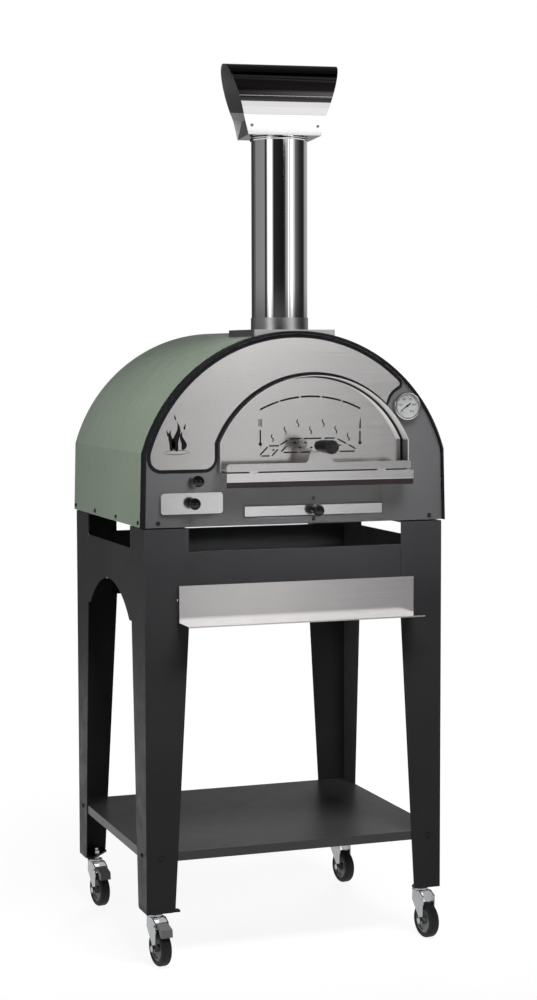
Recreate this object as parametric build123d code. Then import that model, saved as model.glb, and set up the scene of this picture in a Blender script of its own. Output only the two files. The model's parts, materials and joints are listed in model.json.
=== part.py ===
from build123d import *
from math import atan2, cos, degrees, radians, sin, sqrt
import os

# Wood-fired pizza oven on a wheeled stand. Millimetres. While it is drawn, X runs to the right, Y from
# the front leg faces to the back and Z up from the floor. save() moves it so that the origin is the
# centre of the whole object's footprint on the floor.

# ---- fits and gaps ----
SKIN_GAP = 0.1  # between pieces that are clamped or rest on each other along a curve
RUN_GAP = 0.05  # radial clearance of a shaft in its hole
SLIDE_GAP = 0.3  # between faces that slide past each other
HOLE_GAP = 0.2  # radial clearance of a screw in its hole

# ---- stand ----
STAND_W = 700.0
STAND_D = 590.0
STAND_SHEET = 2.0
LEG_TOP_Z = 962.0
LEG_FACE_TOP_W = 100.0  # front and rear faces
LEG_FACE_BOTTOM_W = 65.0
LEG_SIDE_TOP_W = 106.0  # side faces
LEG_SIDE_BOTTOM_W = 67.0
TAPER_TOP_Z = 752.0
ARCH_STEP = 19.0
ARCH_APEX_Z = 827.0
NOTCH_EDGE = 114.0  # from the front and rear faces to the side notch
NOTCH_Z = 913.0
LEG_CORNER_R = 8.0
APRON_TOP_Z = 910.0
APRON_H = 154.0
APRON_OVERLAP = 9.0  # behind each leg face
APRON_HEM = 14.0
SHELF_TOP_Z = 253.0
SHELF_FLANGE = 20.0
SLOT_X = STAND_W / 2 - 75
SLOT_W = 4.0
SLOT_H = 15.0
SLOT_Z = 801.0
FRAME_SCREW_X = STAND_W / 2 - 32
FRAME_SCREW_Z = SHELF_TOP_Z - SHELF_FLANGE / 2
FRAME_SCREW_Y = 38.0

# ---- utensil ledge ----
LEDGE_SHEET = 1.5
LEDGE_BACK_Z = (757.0, 839.0)
LEDGE_BACK_Y = -12.0
LEDGE_DEPTH = 66.0
LEDGE_HEM = 3.0
HOOK_DROP = 8.0

# ---- casters ----
WHEEL_R = 40.0
TYRE_W = 24.0
HUB_R = 28.5
HUB_BOSS_R = 8.0
HUB_BOSS_W = 27.0
AXLE_R = 4.0
CASTER_INSET = (31.0, 38.0)  # pivot from the leg's side face and from its front or rear face
CASTER_TRAIL = 24.0
CASTER_YAW = 8.0
FORK_INNER_W = 28.0
FORK_SHEET = 2.5
FORK_TOP_Z = 2 * WHEEL_R + 26
LEG_BOTTOM_Z = FORK_TOP_Z + 13
STEM_R = 5.0
CORNER_PLATE = 4.0
CORNER_PLATE_LEGS = (75.0, 62.0)  # along the two faces of a leg
CORNER_PLATE_END = 14.0
PEDAL_W = 26.0
PEDAL_PIN_R = 2.5
PEDAL_Y = -29.0
PEDAL_Z = FORK_TOP_Z - 15

# ---- oven body ----
BODY_W = STAND_W + 10
BODY_D = STAND_D
BODY_BOTTOM_Z = LEG_TOP_Z + 3
BODY_TOP_Z = BODY_BOTTOM_Z + 424
KINK_Z = BODY_BOTTOM_Z + 160
KINK_HALF = BODY_W / 2 - 4
SHELL_SHEET = 1.5
RIM_FRONT_Y = -8.0
RIM_BACK_Y = 18.0
RIM_SHEET = 1.5
RIM_FACE_W = 5.0
RIM_CHAMFER = 0.7
PANEL_SHEET = 1.5
BASE_SHEET = 2.0
BASE_FLANGE = 20.0
BASE_FLANGE_GAP = 0.8  # leaves room for the lean of the shell's sides
REAR_PANEL_INSET = 3.0
SPACER_R = 14.0  # feet of the base pan on the leg tops
SPACER_INSET = 42.0

# ---- facade plate ----
FACADE_SHEET = 1.5
FACADE_STAND_OFF = 1.5
FACADE_INSET = 15.0  # from the body's outline
FACADE_TO_COLLAR = 7.0
FACADE_BOTTOM_Z = BODY_BOTTOM_Z + 125
FACADE_CORNER_R = 24.0
FACADE_TIP_R = 7.0
FACADE_STUD_R = 4.0  # the studs that hold it off the panel
FACADE_STUD_INSET = 20.0
FACADE_STUD_ANGLES = (60.0, 90.0, 120.0, 150.0)

# ---- mouth, sill and door ----
MOUTH_X = 38.5
MOUTH_HALF = 222.0
MOUTH_KINK_Z = BODY_BOTTOM_Z + 182
MOUTH_TOP_Z = MOUTH_KINK_Z + 145
COLLAR_SHEET = 2.0
COLLAR_FRONT_Y = -18.0
COLLAR_FLANGE = 15.0
SILL_TOP_Z = BODY_BOTTOM_Z + 117.7
SILL_FRONT_Y = -53.0
SILL_FACE_H = 20.0
SILL_ROOT_Z = SILL_TOP_Z - 41.2
SILL_W = 2 * MOUTH_HALF - 7
SILL_SHEET = 1.5
DOOR_SHEET = 1.5
DOOR_FACE_Y = 16.0
DOOR_GAP = 3.5  # all round, to the collar
DOOR_CORE_T = 12.0
DOOR_CORE_INSET = 8.0
DOOR_RAISE = 1.9  # the door's skids
DOOR_LIP_Y = -44.0
DOOR_LIP_TOP_Z = SILL_TOP_Z + 19.3
DOOR_LIP_HALF = MOUTH_HALF - 5
DOOR_LIP_R = 8.0
TAB_BASE_W = 68.0
TAB_TOP_W = 50.0
TAB_TOP_Z = DOOR_LIP_TOP_Z + 25
GRIP_Z = TAB_TOP_Z + 11
GRIP_R = 15.0
GRIP_L = 79.0
GRIP_BOLT_R = 4.0
GRIP_WASHER_R = 12.0

# ---- door cut-outs ----
RAY_COUNT = 5
RAY_LENGTH = 43.0
RAY_GAP = 7.0
RAY_W = 4.0
RAY_RADIUS = 263.0
RAY_TOP_Z = MOUTH_TOP_Z - 47
TOOL_X = 118.0  # fork and knife from the door's middle
TOOL_RISE = (56.3, 114.3)  # of both tools over the sill
STEAM_RISE = (71.3, 87.3, 103.3, 87.3, 103.3, 87.3, 71.3)
STEAM_SPAN = 180.0
STEAM_H = 16.0
STEAM_W = 2.4
BOARD_RISE = (39.3, 69.3)
BOARD_LINE_W = 3.2

# ---- controls ----
KNOB_R = 13.0
KNOB_NECK_R = 6.0
KNOB_FLAT = 1.0  # cut off the ball where a rod meets it
ROD_R = 4.0
GATE_X = 110 - BODY_W / 2
GATE_ROD_Z = SILL_TOP_Z - 15.7
GATE_KNOB_Y = -55.0
GATE_T = 2.0
GATE_SLOT_PITCH = 40.0
EMBER_FRONT_X = (40 - BODY_W / 2, 181 - BODY_W / 2)
EMBER_FRONT_Z = (BODY_BOTTOM_Z + 29, BODY_BOTTOM_Z + 75)
EMBER_FRONT_Y = -8.0
EMBER_FRONT_R = 8.0
EMBER_LAP = 6.0  # front plate past the opening
ASH_FRONT_X = (-122.0, 203.0)
ASH_FRONT_Z = (BODY_BOTTOM_Z + 19, BODY_BOTTOM_Z + 41)
ASH_FRONT_GAP = 2.0  # around the strip in its opening
DRAWER_KNOB_Y = -28.0
DRAWER_SHEET = 1.2
DRAWER_BACK_Y = BODY_D - 70
RUNNER_W = 11.0
RUNNER_SHEET = 1.5
SCREW_HEAD_R = 5.0
SCREW_HEAD_H = 3.2
SCREW_R = 2.5
EDGE_SCREW_INSET = 36.0  # of the panel's outer screws from the body's sides
MID_SCREW_X = 40.0
MID_SCREW_GAP = (9.5, 15.0)  # of the panel's middle screws under and over the ash strip
SHELL_SCREW_ENDS = (30.0, 17.0)  # from the body's front and back
SHELL_SCREW_COUNT = 4
SHELL_SCREW_Z = BODY_BOTTOM_Z + 10

# ---- inner oven ----
INSULATION_T = 23.0
VAULT_SHEET = 2.0
VAULT_Y = (42.0, BODY_D - 28)
HEARTH_FRAME_SHEET = 3.0
TILE_T = 29.7
HEARTH_FRAME_TOP_Z = SILL_TOP_Z - TILE_T
TILE_JOINT = 1.0
GRATE_W = 130.0
GRATE_T = 10.0
GRATE_SLOT_W = 8.0
GRATE_PITCH = 20.0
GRATE_RAIL_W = 10.0

# ---- thermometer ----
GAUGE_R = 31.5
GAUGE_INSET = 38.3  # of its middle from the body's outline
GAUGE_Z = BODY_BOTTOM_Z + 257
GAUGE_FRONT_Y = -15.0
GAUGE_DIAL_R = GAUGE_R - 4.5
GAUGE_STEM_R = 4.0
GAUGE_STEM_L = 110.0
NEEDLE_L = 20.0
NEEDLE_TAIL = 10.0
NEEDLE_ANGLE = 214.0  # anticlockwise from +X, seen from the front

# ---- flue and cowl ----
FLUE_R = 62.5
FLUE_SHEET = 1.0
FLUE_Y = FLUE_R + 47.5
FLUE_BOTTOM_Z = BODY_TOP_Z - 33
FLUE_TOP_Z = BODY_TOP_Z + 429
FLUE_BASE_HALF = FLUE_R + 32.5
FLUE_BASE_Y = (12.0, FLUE_Y + FLUE_R + 13.5)
FLUE_BASE_TOP_Z = BODY_TOP_Z + 3
FLUE_BASE_SHEET = 1.5
FLUE_BASE_DEPTH = 20.0  # below the arch at its outer edges
COLLAR_TOP_Z = BODY_TOP_Z + 30
COLLAR_WALL = 1.6
FLUE_HOLE_GAP = 2.0
COWL_YAW = -8.0
COWL_SHEET = 1.0
COWL_LEG_HALF = FLUE_R + 1.5
COWL_R = FLUE_R + 13.5
COWL_TOP_Z = FLUE_TOP_Z + 160
COWL_BOTTOM_HALF = FLUE_R + 19.5
COWL_TOP_HALF = FLUE_R + 65.5
COWL_WALL_H = 35.0
SPIGOT_L = 22.0
COWL_SCREW_X = COWL_BOTTOM_HALF - 8
COWL_SCREW_Z = FLUE_TOP_Z + 20
COWL_SCREW_R = 1.6

# ---- worked out from the sizes above ----
ARC_R = (KINK_HALF**2 + (BODY_TOP_Z - KINK_Z) ** 2) / (2 * (BODY_TOP_Z - KINK_Z))
ARC_Z = BODY_TOP_Z - ARC_R
GAUGE_X = sqrt((ARC_R - GAUGE_INSET) ** 2 - (GAUGE_Z - ARC_Z) ** 2)
MOUTH_RISE = MOUTH_TOP_Z - MOUTH_KINK_Z
MOUTH_ARC_R = (MOUTH_HALF**2 + MOUTH_RISE**2) / (2 * MOUTH_RISE)
MOUTH_ARC_Z = MOUTH_TOP_Z - MOUTH_ARC_R
GRIP_FRONT_Y = DOOR_LIP_Y - 1.0 - GRIP_L
BACK_Y = max(BODY_D, STAND_D + SCREW_HEAD_H)
ORIGIN_Y = (GRIP_FRONT_Y + BACK_Y) / 2
PANEL_SCREWS = (
    (EDGE_SCREW_INSET - BODY_W / 2, SHELL_SCREW_Z),
    (BODY_W / 2 - EDGE_SCREW_INSET, SHELL_SCREW_Z),
    (MID_SCREW_X, ASH_FRONT_Z[1] + MID_SCREW_GAP[1]),
    (MID_SCREW_X, ASH_FRONT_Z[0] - MID_SCREW_GAP[0]),
)
SHELL_SCREW_STEP = (BODY_D - SHELL_SCREW_ENDS[0] - SHELL_SCREW_ENDS[1]) / (SHELL_SCREW_COUNT - 1)
SHELL_SCREW_Y = [SHELL_SCREW_ENDS[0] + k * SHELL_SCREW_STEP for k in range(SHELL_SCREW_COUNT)]
VAULT_INSET = SHELL_SHEET + SKIN_GAP + INSULATION_T + SKIN_GAP
CASTERS = {
    "front_left": (-1, 1),
    "front_right": (1, 1),
    "rear_left": (-1, -1),
    "rear_right": (1, -1),
}


# ---- helpers ----
def prism_y(profile, y0, y1):
    """An XZ profile made solid from y0 to y1."""
    return extrude(Plane(origin=(0, y1, 0), x_dir=(1, 0, 0), z_dir=(0, -1, 0)) * profile, y1 - y0)


def prism_x(profile, x0, x1):
    """A YZ profile made solid from x0 to x1."""
    return extrude(Plane(origin=(x0, 0, 0), x_dir=(0, 1, 0), z_dir=(1, 0, 0)) * profile, x1 - x0)


def prism_z(profile, z0, z1):
    """An XY profile made solid from z0 to z1."""
    return extrude(Plane.XY.offset(z0) * profile, z1 - z0)


def block(x, y, z):
    """A box between the pairs x, y and z."""
    size = (x[1] - x[0], y[1] - y[0], z[1] - z[0])
    return Pos(x[0], y[0], z[0]) * Box(*size, align=(Align.MIN, Align.MIN, Align.MIN))


def rod_x(radius, y, z, x0, x1):
    return prism_x(Pos(y, z) * Circle(radius), x0, x1)


def rod_y(radius, x, z, y0, y1):
    return prism_y(Pos(x, z) * Circle(radius), y0, y1)


def rod_z(radius, x, y, z0, z1):
    return prism_z(Pos(x, y) * Circle(radius), z0, z1)


def outline(points):
    return make_face(Polyline(*points, close=True))


def arched(x, bottom_half, bottom_z, kink_z, arc_z, radius):
    """A doorway shape: straight sides up to kink_z, then one arc over the top."""
    kink = sqrt(radius**2 - (kink_z - arc_z) ** 2)
    left = Line((x - bottom_half, bottom_z), (x - kink, kink_z))
    crown = ThreePointArc((x - kink, kink_z), (x, arc_z + radius), (x + kink, kink_z))
    right = Line((x + kink, kink_z), (x + bottom_half, bottom_z))
    return make_face([left, crown, right, Line((x + bottom_half, bottom_z), (x - bottom_half, bottom_z))])


def body_profile(inset, bottom_z=BODY_BOTTOM_Z):
    """The body's outline, moved in by inset."""
    lean = (BODY_W / 2 - KINK_HALF) * (KINK_Z - bottom_z) / (KINK_Z - BODY_BOTTOM_Z)
    kink = sqrt((ARC_R - inset) ** 2 - (KINK_Z - ARC_Z) ** 2)
    return arched(0, kink + lean, bottom_z, KINK_Z, ARC_Z, ARC_R - inset)


def mouth_profile(inset, bottom_z=SILL_TOP_Z):
    """The mouth collar's outer outline, moved in by inset."""
    radius = MOUTH_ARC_R - inset
    kink = sqrt(radius**2 - (MOUTH_KINK_Z - MOUTH_ARC_Z) ** 2)
    return arched(MOUTH_X, kink, bottom_z, MOUTH_KINK_Z, MOUTH_ARC_Z, radius)


def hexagon_z(across, x, y, z0, z1):
    return prism_z(Pos(x, y) * RegularPolygon(across / 2, 6, major_radius=False), z0, z1)


def button_screw(length):
    """A button-head screw standing on its head's seat, shank down."""
    head = extrude(Circle(SCREW_HEAD_R), SCREW_HEAD_H)
    head = fillet(head.faces().sort_by(Axis.Z)[-1].edges(), SCREW_HEAD_H * 0.8)
    socket = extrude(RegularPolygon(1.6, 6), SCREW_HEAD_H)
    socket = Pos(0, 0, SCREW_HEAD_H / 2) * socket
    shank = Pos(0, 0, -length) * extrude(Circle(SCREW_R), length)
    return head - socket + shank


def save(node, *solids):
    """Writes one node, with the origin at the middle of the footprint."""
    moved = [Pos(0, -ORIGIN_Y, 0) * solid for solid in solids]
    shape = moved[0] if len(moved) == 1 else Compound(children=[Compound(s.wrapped) for s in moved])
    export_step(shape, f"parts/{node}.step")


# ---- stand ----
def side_frame(side):
    """Side face with its arch and notch, a front and a rear leg face, and seats for the body on top."""
    arch_left = LEG_SIDE_TOP_W
    arch_foot = arch_left + ARCH_STEP
    depth = STAND_D
    arch = ThreePointArc(
        (arch_foot, TAPER_TOP_Z), (depth / 2, ARCH_APEX_Z), (depth - arch_foot, TAPER_TOP_Z)
    )
    left = Polyline(
        (depth - arch_foot, TAPER_TOP_Z),
        (depth - arch_left, TAPER_TOP_Z),
        (depth - LEG_SIDE_BOTTOM_W, LEG_BOTTOM_Z),
        (depth, LEG_BOTTOM_Z),
        (depth, LEG_TOP_Z),
        (depth - NOTCH_EDGE, LEG_TOP_Z),
        (depth - NOTCH_EDGE, NOTCH_Z),
        (NOTCH_EDGE, NOTCH_Z),
        (NOTCH_EDGE, LEG_TOP_Z),
        (0, LEG_TOP_Z),
        (0, LEG_BOTTOM_Z),
        (LEG_SIDE_BOTTOM_W, LEG_BOTTOM_Z),
        (arch_left, TAPER_TOP_Z),
        (arch_foot, TAPER_TOP_Z),
    )
    outer = STAND_W / 2
    frame = prism_x(make_face([arch] + left.edges()), outer - STAND_SHEET, outer)
    face = outline(
        [
            (outer, LEG_TOP_Z),
            (outer - LEG_FACE_TOP_W, LEG_TOP_Z),
            (outer - LEG_FACE_TOP_W, TAPER_TOP_Z),
            (outer - LEG_FACE_BOTTOM_W, LEG_BOTTOM_Z),
            (outer, LEG_BOTTOM_Z),
        ]
    )
    frame += prism_y(face, 0, STAND_SHEET) + prism_y(face, depth - STAND_SHEET, depth)
    seat_x = (outer - LEG_FACE_TOP_W, outer)
    for seat_y in ((0, NOTCH_EDGE), (depth - NOTCH_EDGE, depth)):
        frame += block(seat_x, seat_y, (LEG_TOP_Z - STAND_SHEET, LEG_TOP_Z))
    corners = frame.edges().filter_by(Axis.Y).group_by(Axis.Z)[0].sort_by(Axis.X)[:2]
    frame = fillet(corners, LEG_CORNER_R)
    feet = frame.edges().filter_by(Axis.X).group_by(Axis.Z)[0]
    inner = [e for e in feet if LEG_SIDE_BOTTOM_W / 2 < e.center().Y < depth - LEG_SIDE_BOTTOM_W / 2]
    frame = fillet(inner, LEG_CORNER_R)
    frame = fillet(upright_bends(frame, outer), STAND_SHEET)
    slot = block(
        (SLOT_X - SLOT_W / 2, SLOT_X + SLOT_W / 2),
        (-1, depth + 1),
        (SLOT_Z - SLOT_H / 2, SLOT_Z + SLOT_H / 2),
    )
    frame -= slot
    for y0, y1 in ((-1, STAND_SHEET + 1), (depth - STAND_SHEET - 1, depth + 1)):
        frame -= rod_y(SCREW_R + HOLE_GAP, FRAME_SCREW_X, FRAME_SCREW_Z, y0, y1)
    for y in (FRAME_SCREW_Y, depth - FRAME_SCREW_Y):
        frame -= rod_x(SCREW_R + HOLE_GAP, y, FRAME_SCREW_Z, outer - STAND_SHEET - 1, outer + 1)
    return frame if side > 0 else mirror(frame, Plane.YZ)


def upright_bends(frame, outer):
    """The two outer corner edges where the side face turns into the leg faces."""
    edges = frame.edges().filter_by(Axis.Z)
    ends = (0, STAND_D)
    return [
        e
        for e in edges
        if abs(e.center().X - outer) < 0.01 and min(abs(e.center().Y - y) for y in ends) < 0.01
    ]


def apron():
    """The front apron: a plate behind the leg faces with a hem along its top."""
    half = STAND_W / 2 - LEG_FACE_TOP_W + APRON_OVERLAP
    y = STAND_SHEET
    plate = block((-half, half), (y, y + STAND_SHEET), (APRON_TOP_Z - APRON_H, APRON_TOP_Z))
    hem = block((-half, half), (y, y + APRON_HEM), (APRON_TOP_Z - STAND_SHEET, APRON_TOP_Z))
    low = APRON_TOP_Z - APRON_H
    foot = block((-half, half), (y, y + APRON_HEM), (low, low + STAND_SHEET))
    return plate + hem + foot


def lower_shelf():
    half = STAND_W / 2 - STAND_SHEET - SKIN_GAP
    y = (STAND_SHEET + SKIN_GAP, STAND_D - STAND_SHEET - SKIN_GAP)
    shelf = block((-half, half), y, (SHELF_TOP_Z - SHELF_FLANGE, SHELF_TOP_Z))
    inside = block(
        (-half + STAND_SHEET, half - STAND_SHEET),
        (y[0] + STAND_SHEET, y[1] - STAND_SHEET),
        (SHELF_TOP_Z - SHELF_FLANGE - 1, SHELF_TOP_Z - STAND_SHEET),
    )
    shelf -= inside
    for x in (-FRAME_SCREW_X, FRAME_SCREW_X):
        shelf -= rod_y(SCREW_R + HOLE_GAP, x, FRAME_SCREW_Z, y[0] - 1, y[0] + STAND_SHEET + 1)
        shelf -= rod_y(SCREW_R + HOLE_GAP, x, FRAME_SCREW_Z, y[1] - STAND_SHEET - 1, y[1] + 1)
    for yy in (FRAME_SCREW_Y, STAND_D - FRAME_SCREW_Y):
        shelf -= rod_x(SCREW_R + HOLE_GAP, yy, FRAME_SCREW_Z, -half - 1, -half + STAND_SHEET + 1)
        shelf -= rod_x(SCREW_R + HOLE_GAP, yy, FRAME_SCREW_Z, half - STAND_SHEET - 1, half + 1)
    return shelf


def utensil_ledge():
    """Back plate, shelf with a hem, and end returns whose hooks drop behind the front leg faces."""
    half = SLOT_X + LEDGE_SHEET / 2
    low, high = LEDGE_BACK_Z
    back = block((-half, half), (LEDGE_BACK_Y, LEDGE_BACK_Y + LEDGE_SHEET), (low, high))
    shelf = block((-half, half), (LEDGE_BACK_Y - LEDGE_DEPTH, LEDGE_BACK_Y + LEDGE_SHEET), (low, low + LEDGE_SHEET))
    front = LEDGE_BACK_Y - LEDGE_DEPTH
    hem = block((-half, half), (front, front + LEDGE_SHEET), (low + LEDGE_SHEET - LEDGE_HEM, low + LEDGE_SHEET))
    back = fillet((back + shelf + hem).edges().filter_by(Axis.Z).group_by(Axis.Y)[0], LEDGE_SHEET / 3)
    slot_bottom = SLOT_Z - SLOT_H / 2
    hook = outline(
        [
            (LEDGE_BACK_Y, low),
            (-SLIDE_GAP, low),
            (-SLIDE_GAP, slot_bottom),
            (STAND_SHEET + SLIDE_GAP, slot_bottom),
            (STAND_SHEET + SLIDE_GAP, slot_bottom - HOOK_DROP),
            (STAND_SHEET + 5, slot_bottom - HOOK_DROP),
            (STAND_SHEET + 5, slot_bottom + SLOT_H - 3),
            (-SLIDE_GAP, slot_bottom + SLOT_H - 3),
            (-SLIDE_GAP, high),
            (LEDGE_BACK_Y, high),
        ]
    )
    for x in (-half, half - LEDGE_SHEET):
        back += prism_x(hook, x, x + LEDGE_SHEET)
    return back


def frame_screws():
    """Screws of the stand and of the shell's bottom edge."""
    screws = []
    side = STAND_W / 2
    length = STAND_SHEET * 2 + 6
    for x in (-FRAME_SCREW_X, FRAME_SCREW_X):
        screws.append(Pos(x, 0, FRAME_SCREW_Z) * Rot(90, 0, 0) * button_screw(length))
        screws.append(Pos(x, STAND_D, FRAME_SCREW_Z) * Rot(-90, 0, 0) * button_screw(length))
    for y in (FRAME_SCREW_Y, STAND_D - FRAME_SCREW_Y):
        screws.append(Pos(-side, y, FRAME_SCREW_Z) * Rot(0, -90, 0) * button_screw(length))
        screws.append(Pos(side, y, FRAME_SCREW_Z) * Rot(0, 90, 0) * button_screw(length))
    lean = (BODY_W / 2 - KINK_HALF) / (KINK_Z - BODY_BOTTOM_Z)
    wall = BODY_W / 2 - lean * (SHELL_SCREW_Z - BODY_BOTTOM_Z)
    tilt = degrees(atan2(lean, 1))
    for y in SHELL_SCREW_Y:
        screws.append(Pos(wall, y, SHELL_SCREW_Z) * Rot(0, 90 - tilt, 0) * button_screw(8))
        screws.append(Pos(-wall, y, SHELL_SCREW_Z) * Rot(0, -90 + tilt, 0) * button_screw(8))
    return screws


# ---- casters ----
def caster_place(side, end):
    """Pivot of one caster, turned so that its wheel trails to the front."""
    x = side * (STAND_W / 2 - CASTER_INSET[0])
    y = CASTER_INSET[1] if end > 0 else STAND_D - CASTER_INSET[1]
    return Pos(x, y, 0) * Rot(0, 0, CASTER_YAW)


def corner_plate(side, end):
    """A cut-off triangle across the bottom of a leg, with the caster's hole; one plate fits all corners, turned."""
    x = STAND_W / 2 - STAND_SHEET
    along_x, along_y = CORNER_PLATE_LEGS if side != end else reversed(CORNER_PLATE_LEGS)
    tip = CORNER_PLATE_END
    y = STAND_SHEET
    shape = outline([(x, y), (x - along_x, y), (x - along_x, y + tip), (x - tip, y + along_y), (x, y + along_y)])
    plate = prism_z(shape, LEG_BOTTOM_Z, LEG_BOTTOM_Z + CORNER_PLATE)
    plate -= rod_z(STEM_R + HOLE_GAP, STAND_W / 2 - CASTER_INSET[0], CASTER_INSET[1], 0, FORK_TOP_Z * 2)
    if end < 0:
        plate = mirror(plate, Plane.XZ.offset(-STAND_D / 2))
    return plate if side > 0 else mirror(plate, Plane.YZ)


def caster_stem():
    """Fixed stem with its rivet head below the fork, the race above it and a clamping nut."""
    race_z = FORK_TOP_Z + SLIDE_GAP
    stem = rod_z(STEM_R, 0, 0, FORK_TOP_Z - 7, LEG_BOTTOM_Z + CORNER_PLATE + 14)
    stem += rod_z(STEM_R + 4, 0, 0, FORK_TOP_Z - 7, FORK_TOP_Z - FORK_SHEET - SLIDE_GAP)
    stem += rod_z(16, 0, 0, race_z, race_z + 4)
    return stem + hexagon_z(17, 0, 0, race_z + 4, LEG_BOTTOM_Z)


def caster_nut():
    base = LEG_BOTTOM_Z + CORNER_PLATE
    return hexagon_z(17, 0, 0, base, base + 8) - rod_z(STEM_R + HOLE_GAP, 0, 0, base - 1, base + 9)


def fork():
    """Top plate with two cheeks that run down to the axle."""
    inner = FORK_INNER_W / 2
    outer = inner + FORK_SHEET
    axle_y = -CASTER_TRAIL
    top = block((-outer, outer), (-19, 19), (FORK_TOP_Z - FORK_SHEET, FORK_TOP_Z))
    top = fillet(top.edges().filter_by(Axis.Z), 8)
    cheek = outline(
        [
            (11, FORK_TOP_Z),
            (-17, FORK_TOP_Z),
            (-34, FORK_TOP_Z - 10),
            (-34, FORK_TOP_Z - 22),
            (axle_y - 9, WHEEL_R + 8),
            (axle_y - 7, WHEEL_R - 7),
            (axle_y + 7, WHEEL_R - 7),
            (axle_y + 9, WHEEL_R + 8),
            (13, WHEEL_R + 42),
        ]
    )
    plates = prism_x(cheek, -outer, -inner) + prism_x(cheek, inner, outer)
    body = top + plates
    body -= rod_z(STEM_R + RUN_GAP, 0, 0, 0, FORK_TOP_Z * 2)
    body -= rod_x(AXLE_R + RUN_GAP, axle_y, WHEEL_R, -outer - 1, outer + 1)
    return body - rod_x(PEDAL_PIN_R + RUN_GAP, PEDAL_Y, PEDAL_Z, -outer - 1, outer + 1)


def brake_pedal():
    """A pedal between the cheeks, on its pin, that reaches out over the tread."""
    half = PEDAL_W / 2
    profile = outline(
        [
            (PEDAL_Y + 4, PEDAL_Z + 5),
            (PEDAL_Y - 10, PEDAL_Z + 5),
            (PEDAL_Y - 31, PEDAL_Z - 3),
            (PEDAL_Y - 33, PEDAL_Z - 20),
            (PEDAL_Y - 25, PEDAL_Z - 20),
            (PEDAL_Y - 13, PEDAL_Z - 5),
            (PEDAL_Y + 4, PEDAL_Z - 5),
        ]
    )
    pedal = prism_x(profile, -half, half)
    pin_half = FORK_INNER_W / 2 + FORK_SHEET + 1
    pin = rod_x(PEDAL_PIN_R, PEDAL_Y, PEDAL_Z, -pin_half, pin_half)
    return pedal + pin


def axle_bolt():
    """Bolt through fork and hub, head on the outer cheek and a nut on the other."""
    outer = FORK_INNER_W / 2 + FORK_SHEET
    plane = Plane(origin=(0, -CASTER_TRAIL, WHEEL_R), x_dir=(0, 1, 0), z_dir=(1, 0, 0))
    bolt = rod_x(AXLE_R, -CASTER_TRAIL, WHEEL_R, -outer, outer)
    hexagon = RegularPolygon(6.5, 6, major_radius=False)
    bolt += Pos(-outer - 5, 0, 0) * extrude(plane * hexagon, 5)
    return bolt + Pos(outer, 0, 0) * extrude(plane * hexagon, 6)


def wheel_ring(profile):
    """A profile of (radius, X) points turned round the wheel's axle."""
    points = [(x, radius) for radius, x in profile]
    face = Plane(origin=(0, 0, 0), x_dir=(1, 0, 0), z_dir=(0, -1, 0)) * outline(points)
    ring = revolve(face, Axis.X)
    return Pos(0, -CASTER_TRAIL, WHEEL_R) * ring


def tyre():
    half = TYRE_W / 2
    inner = HUB_R + SKIN_GAP
    ring = wheel_ring([(inner, -half), (WHEEL_R, -half), (WHEEL_R, half), (inner, half)])
    tread = [e for e in ring.edges().filter_by(GeomType.CIRCLE) if e.radius > WHEEL_R - 1]
    return fillet(tread, 7)


def hub():
    half = TYRE_W / 2 - 2
    web = 4.0
    bore = AXLE_R + RUN_GAP
    boss = HUB_BOSS_W / 2
    rim = HUB_R - 5
    points = [
        (bore, -boss),
        (HUB_BOSS_R, -boss),
        (HUB_BOSS_R, -web),
        (rim, -web - 2),
        (rim + 1, -half),
        (HUB_R, -half),
        (HUB_R, half),
        (rim + 1, half),
        (rim, web + 2),
        (HUB_BOSS_R, web),
        (HUB_BOSS_R, boss),
        (bore, boss),
    ]
    return wheel_ring(points)


# ---- oven body ----
def base_pan():
    """Bottom tray with upturned flanges that the shell is screwed to."""
    half = BODY_W / 2 - SHELL_SHEET - BASE_FLANGE_GAP
    y = (PANEL_SHEET + SKIN_GAP, BODY_D - REAR_PANEL_INSET - PANEL_SHEET - SKIN_GAP)
    z = (BODY_BOTTOM_Z, BODY_BOTTOM_Z + BASE_FLANGE)
    pan = block((-half, half), y, z)
    inner = (-half + BASE_SHEET, half - BASE_SHEET)
    pan -= block(inner, (y[0] + BASE_SHEET, y[1] - BASE_SHEET), (z[0] + BASE_SHEET, z[1] + 1))
    pan -= block(
        (ASH_FRONT_X[0] - 5, ASH_FRONT_X[1] + 5), (y[0] - 1, y[0] + BASE_SHEET + 1), (z[0] + BASE_SHEET, z[1] + 1)
    )
    for yy in SHELL_SCREW_Y:
        for side in (-1, 1):
            x = sorted((side * (half - BASE_SHEET - 6), side * (half + 6)))
            pan -= rod_x(SCREW_R + 0.5, yy, SHELL_SCREW_Z, *x)
    for x, z_screw in PANEL_SCREWS:
        pan -= rod_y(SCREW_R + 0.5, x, z_screw, y[0] - 1, y[0] + BASE_SHEET + 1)
    for spacer in spacers():
        pan += spacer
    return pan


def spacers():
    """Discs between the leg tops and the base pan."""
    x = STAND_W / 2 - SPACER_INSET
    return [
        rod_z(SPACER_R, side * x, y, LEG_TOP_Z, BODY_BOTTOM_Z)
        for side in (-1, 1)
        for y in (SPACER_INSET, STAND_D - SPACER_INSET)
    ]


def flue_cut(extra, z0, z1):
    return rod_z(FLUE_R + extra, 0, FLUE_Y, z0, z1)


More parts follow.
